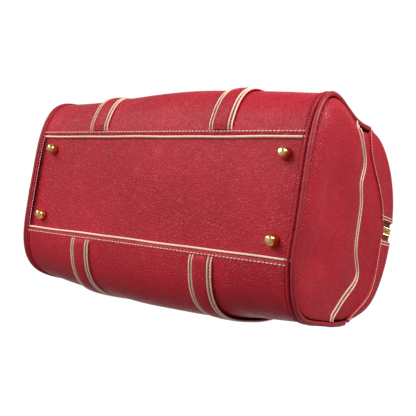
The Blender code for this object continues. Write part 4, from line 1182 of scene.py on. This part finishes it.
for side_name, side in SIDES:
    body = f"grip_{side_name}"
    line = handle_line()
    run = np.linspace(0, 1, len(line))
    uneven = 1 - 0.05 * np.exp(-((run - 0.5) / 0.16) ** 2) + 0.02 * np.sin(run * 37)
    on(body, cord_of(f"rolled_handle_{side_name}", tilted(line, side), 0.0067, RED, sides=28, scale=uneven),
       f"handle_{side_name}")
    inner = handle_line(0.0078)[14:-14]
    plane = turned_with(np.array((0, 1.0, 0)), side)
    path = tilted(inner, side)
    inwards = unit(np.cross(np.gradient(path, axis=0), plane))
    profile = [(-0.0012, -0.0020), (-0.0012, 0.0006), (-0.0009, 0.0010),
               (0.0009, 0.0010), (0.0012, 0.0006), (0.0012, -0.0020)]
    on(body, swept(f"handle_seam_{side_name}", path, plane, inwards, profile, DARK))
    for face in (-1, 1):
        stitch((body, "close"), path[2:-2] + face * 0.0011 * plane, face * plane, 0.0002)
    for end_name, end in ENDS:
        x, tag = end * STRAP_X, f"{side_name}_{end_name}"
        corner, width, height = 0.004, 0.030, 0.020
        ring = []
        for number, (sx, top) in enumerate(((1, 0), (1, 1), (-1, 1), (-1, 0))):
            cx, cz = sx * (width / 2 - corner), (height - corner) if top else corner
            for turn in np.radians(-90 + 90 * number + np.linspace(0, 90, 8)):
                ring.append((x + cx + corner * math.cos(turn), 0, cz + corner * math.sin(turn)))
        ring = np.vstack([evenly(np.array(ring + ring[:1]), 97)[:-1]])
        on(body, cord_of(f"ring_wire_{tag}", tilted(ring, side), 0.00175, BRASS, True, 14), f"ring_{tag}")
        thick, clear, radius = 0.0015, 0.0068 + 0.0003 + 0.00075 + 0.0001, 0.0030
        leg = [(clear, 0.052), (clear, 0.038), (clear - 0.0002, 0.032), (0.0050, 0.0265), (radius, 0.0230)]
        fold = [(radius * math.cos(t), 0.020 - radius * math.sin(t)) for t in np.linspace(0, np.pi, 17)]
        loop = evenly(np.array(leg + fold + [(-a, b) for a, b in leg[::-1]]), 100)
        path = np.column_stack([np.full(100, x), loop])
        step = unit(np.gradient(path, axis=0))
        away = np.cross((1, 0, 0), step)
        profile = [(-0.0100, -0.0004), (-0.0100, 0.0004), (-0.0096, 0.00075), (0.0096, 0.00075), (0.0100, 0.0004),
                   (0.0100, -0.0004), (0.0096, -0.00075), (-0.0096, -0.00075)]
        chape = swept(f"chape_fold_{tag}", tilted(path, side), turned_with(np.array((1.0, 0, 0)), side),
                      turned_with(away, side), profile, RED)
        on(body, chape, f"chape_{tag}")
        for face, part in ((1, path[1:24]), (-1, path[-24:-1])):
            out = turned_with(np.array((0, float(face), 0)), side)
            for spot in (-0.0082, 0.0082):
                stitch((body, "close"), tilted(part + (spot, 0, 0), side), out, 0.0009)
            z = 0.0500
            across = np.column_stack([x + np.linspace(-0.0082, 0.0082, 14), np.full(14, face * clear), np.full(14, z)])
            stitch((body, "close"), tilted(across, side), out, 0.0009)

KINDS = {"seam": (SEAM_ROW, PINK_THREAD), "close": (CLOSE_ROW, THREAD), "fine": (FINE_ROW, THREAD),
         "channel": (CHANNEL_ROW, DULL_THREAD), "tone": (CLOSE_ROW, RED)}
for (body, kind), lines in ROWS.items():
    sizes, finish = KINDS[kind]
    on(body, laid(f"stitches_{body}_{kind}", lines, STITCH_TOOL, sizes, finish))

# %% [markdown]
# ## Inside
#
# The steel bows that spring the mouth open turn on a rivet at each end. The lining is a cloth bucket that
# hangs inside the leather, with a slip pocket on its back wall.

# %% Bows, lining and pocket
HINGE = FOOT_HEIGHT + 0.160
for side_name, side, end_x in (("front", -1, 0.1655), ("back", 1, 0.1593)):
    arm = [(end_x, side * 0.024 * s, HINGE + 0.070 * s) for s in np.linspace(0.0046 / 0.070, 1 - 0.020 / 0.070, 12)]
    for turn in np.linspace(0, math.pi / 2, 12)[1:]:
        z = HINGE + 0.070 - 0.020 * (1 - math.sin(turn))
        arm.append((end_x - 0.020 * (1 - math.cos(turn)), side * 0.024 * (z - HINGE) / 0.070, z))
    line = np.array([(-x, y, z) for x, y, z in arm] + arm[::-1])
    # the arms begin at the rims of their eyes, so that nothing crosses the rivets
    parts = [cord_of(f"bow_wire_{side_name}", evenly(line, 180), 0.0025, STEEL, sides=14)]
    for x in (-end_x, end_x):
        eye = [(0.00225, -0.00245), (0.0052, -0.00245), (0.0056, -0.0020),
               (0.0056, 0.0020), (0.0052, 0.00245), (0.00225, 0.00245)]
        parts.append(turned(f"bow_eye_{side_name}", eye, (x, 0, HINGE), STEEL, 32, (1, 0, 0)))
    on(f"mouth_{side_name}", joined(f"bow_{side_name}_steel", parts, STEEL), f"bow_{side_name}")


def bucket():
    """The lining: walls, a turned top edge and a floor, as one closed cloth."""
    floor, top = 0.0135, 0.140
    shares = np.concatenate([np.linspace(0, 0.12, 8), np.linspace(0.16, 1, 26)])
    turn = np.linspace(0, 2 * np.pi, 160, endpoint=False)
    c, s = np.cos(turn), np.sin(turn)
    layers = []
    for inset in (0.0, 0.001):
        rings = []
        for share in shares:
            z = floor + (top - floor) * share + inset
            drop = max(0.0, (WIDEST - z) / WIDEST)
            wide = END_HALF * (1 - drop ** LOWER) ** (1 / LOWER) if z < WIDEST else float(upper_outline(upper_angle(z), LENGTH / 2)[0])
            wide = wide - 0.005 - inset
            long = 0.1730 - 0.010 * math.exp(-share / 0.03) - inset
            ruffle = 0.0009 * np.sin(turn * 23 + 2 * share) * math.sin(3 * share) + 0.0005 * np.sin(turn * 9 + 5 * share)
            x = (long - ruffle - 0.0009) * np.sign(c) * np.abs(c) ** 0.35
            y = (wide - ruffle - 0.0009) * np.sign(s) * np.abs(s) ** 0.35
            rings.append(slackened(placed(x, y, np.full_like(x, z))))
        layers.append(np.array(rings))
    n, m = layers[0].shape[:2]
    index = np.arange(n * m).reshape(n, m)
    faces = []
    for shift, flip in ((0, False), (n * m, True)):
        here, there = index[:-1] + shift, index[1:] + shift
        quads = np.stack([here, np.roll(here, -1, 1), np.roll(there, -1, 1), there], -1).reshape(-1, 4)
        faces += (quads[:, ::-1] if flip else quads).tolist()
        faces.append((index[0] + shift).tolist()[:: 1 if flip else -1])
    last = index[-1]
    faces += np.stack([last, np.roll(last, -1), np.roll(last, -1) + n * m, last + n * m], -1).tolist()
    points = np.vstack([layer.reshape(-1, 3) for layer in layers])
    return finished("lining_cloth", points, faces, CLOTH)


on("root", bucket(), "lining")
xs, zs = np.meshgrid(np.linspace(-0.070, 0.070, 50), np.linspace(0.045, 0.115, 30))
wall = np.where(zs < WIDEST, END_HALF * (1 - (np.clip(WIDEST - zs, 0, 1) / WIDEST) ** LOWER) ** (1 / LOWER),
                END_HALF * (1 - (np.clip(zs - WIDEST, 0, 1) / (TOP - WIDEST)) ** UPPER) ** (1 / UPPER))
slouch = 0.0012 * np.cos(xs * 45) * (zs - 0.045) / 0.070
pocket = panel("slip_pocket", slackened(placed(xs, wall - 0.012 - slouch, zs)), CLOTH, (0, -1, 0),
               roll=0.0003, thick=0.001)
on("root", pocket, "inner_pocket")

washers = [f"foot_{s}_{e}_washer" for s, _ in SIDES for e, _ in ENDS]
for node in ("base_board", "frame_rivet_left", "frame_rivet_right", *washers):
    held = frame["nodes"][node]
    held.data.materials.clear()
    held.data.materials.append(BOARD if node == "base_board" else STEEL)
print(len(PIECES), "pieces")

# %% [markdown]
# ## Light, floor and camera
#
# The bag is seen from underneath and one end, as when it lies tipped on its side in a studio. The floor
# is pale and plain and lies well below, so that nothing comes between it and the camera. One large soft
# light shapes the leather, a weaker one opens the shadows, and the pale sky gives the brass something to
# reflect.

# %% Studio
BACKDROP = (-0.612, -0.088, 0.785)    # direction of the white backdrop behind the bag


def studio():
    """A pale floor, a graded pale sky and two soft lights."""
    bpy.ops.mesh.primitive_plane_add(size=14, location=(0, 0, -1.6))
    floor = bpy.context.object
    floor.name = "studio_floor"
    pale = bpy.data.materials.new("pale_floor")
    pale.use_nodes = True
    pale.node_tree.nodes["Principled BSDF"].inputs["Base Color"].default_value = colour(0.86, 0.85, 0.84)
    pale.node_tree.nodes["Principled BSDF"].inputs["Roughness"].default_value = 0.9
    floor.data.materials.append(pale)
    floor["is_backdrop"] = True
    sky = bpy.data.worlds.new("studio_sky")
    bpy.context.scene.world = sky
    sky.use_nodes = True
    tree = Tree(sky.node_tree)
    where = tree.node("ShaderNodeTexCoord", {}, {}, "Generated")
    towards = tree.node("ShaderNodeVectorMath", {"operation": "DOT_PRODUCT"}, {0: where, 1: BACKDROP}, "Value")
    share = tree.node("ShaderNodeClamp", {}, {"Value": (towards - 0.78) * 8})
    sky.node_tree.nodes["Background"].inputs["Strength"].default_value = 1.0
    tree.tree.links.new(tree.blend(share, colour(0.30, 0.30, 0.31), colour(1.05, 1.05, 1.05)).socket,
                        sky.node_tree.nodes["Background"].inputs["Color"])
    for name, place, size, power in (("key", (-0.80, -0.85, -1.15), 1.0, 29), ("fill", (0.62, -0.42, 0.04), 0.30, 4.6)):
        lamp = bpy.data.lights.new(name, "AREA")
        lamp.size, lamp.energy = size, power
        held = bpy.data.objects.new(name, lamp)
        held.location = place
        held.rotation_euler = (Vector((0, 0, 0.10)) - Vector(place)).to_track_quat("-Z", "Y").to_euler()
        held.visible_camera = False
        bpy.context.scene.collection.objects.link(held)


def camera():
    """The camera below the near end, rolled so that the bag lies on its side."""
    eye, target = Vector((0.4678, 0.0705, -0.4838)), Vector((0.0312, 0.0079, 0.0760))
    up = Vector((-0.0664, -0.9846, -0.1618))
    back = (eye - target).normalized()
    right = up.cross(back).normalized()
    turn = Matrix((right, back.cross(right), back)).transposed()
    data = bpy.data.cameras.new("camera")
    data.lens, data.sensor_width = 56.9, 36.0
    data.clip_start, data.clip_end = 0.01, 50
    made = bpy.data.objects.new("camera", data)
    made.matrix_world = Matrix.Translation(eye) @ turn.to_4x4()
    bpy.context.scene.collection.objects.link(made)
    bpy.context.scene.camera = made


studio()
camera()
bpy.context.scene.view_settings.view_transform = "Standard"

# %% The model's size in millimetres, printed
low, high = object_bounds()
print("model:", [round(1000 * (b - a), 1) for a, b in zip(low, high)], "mm")
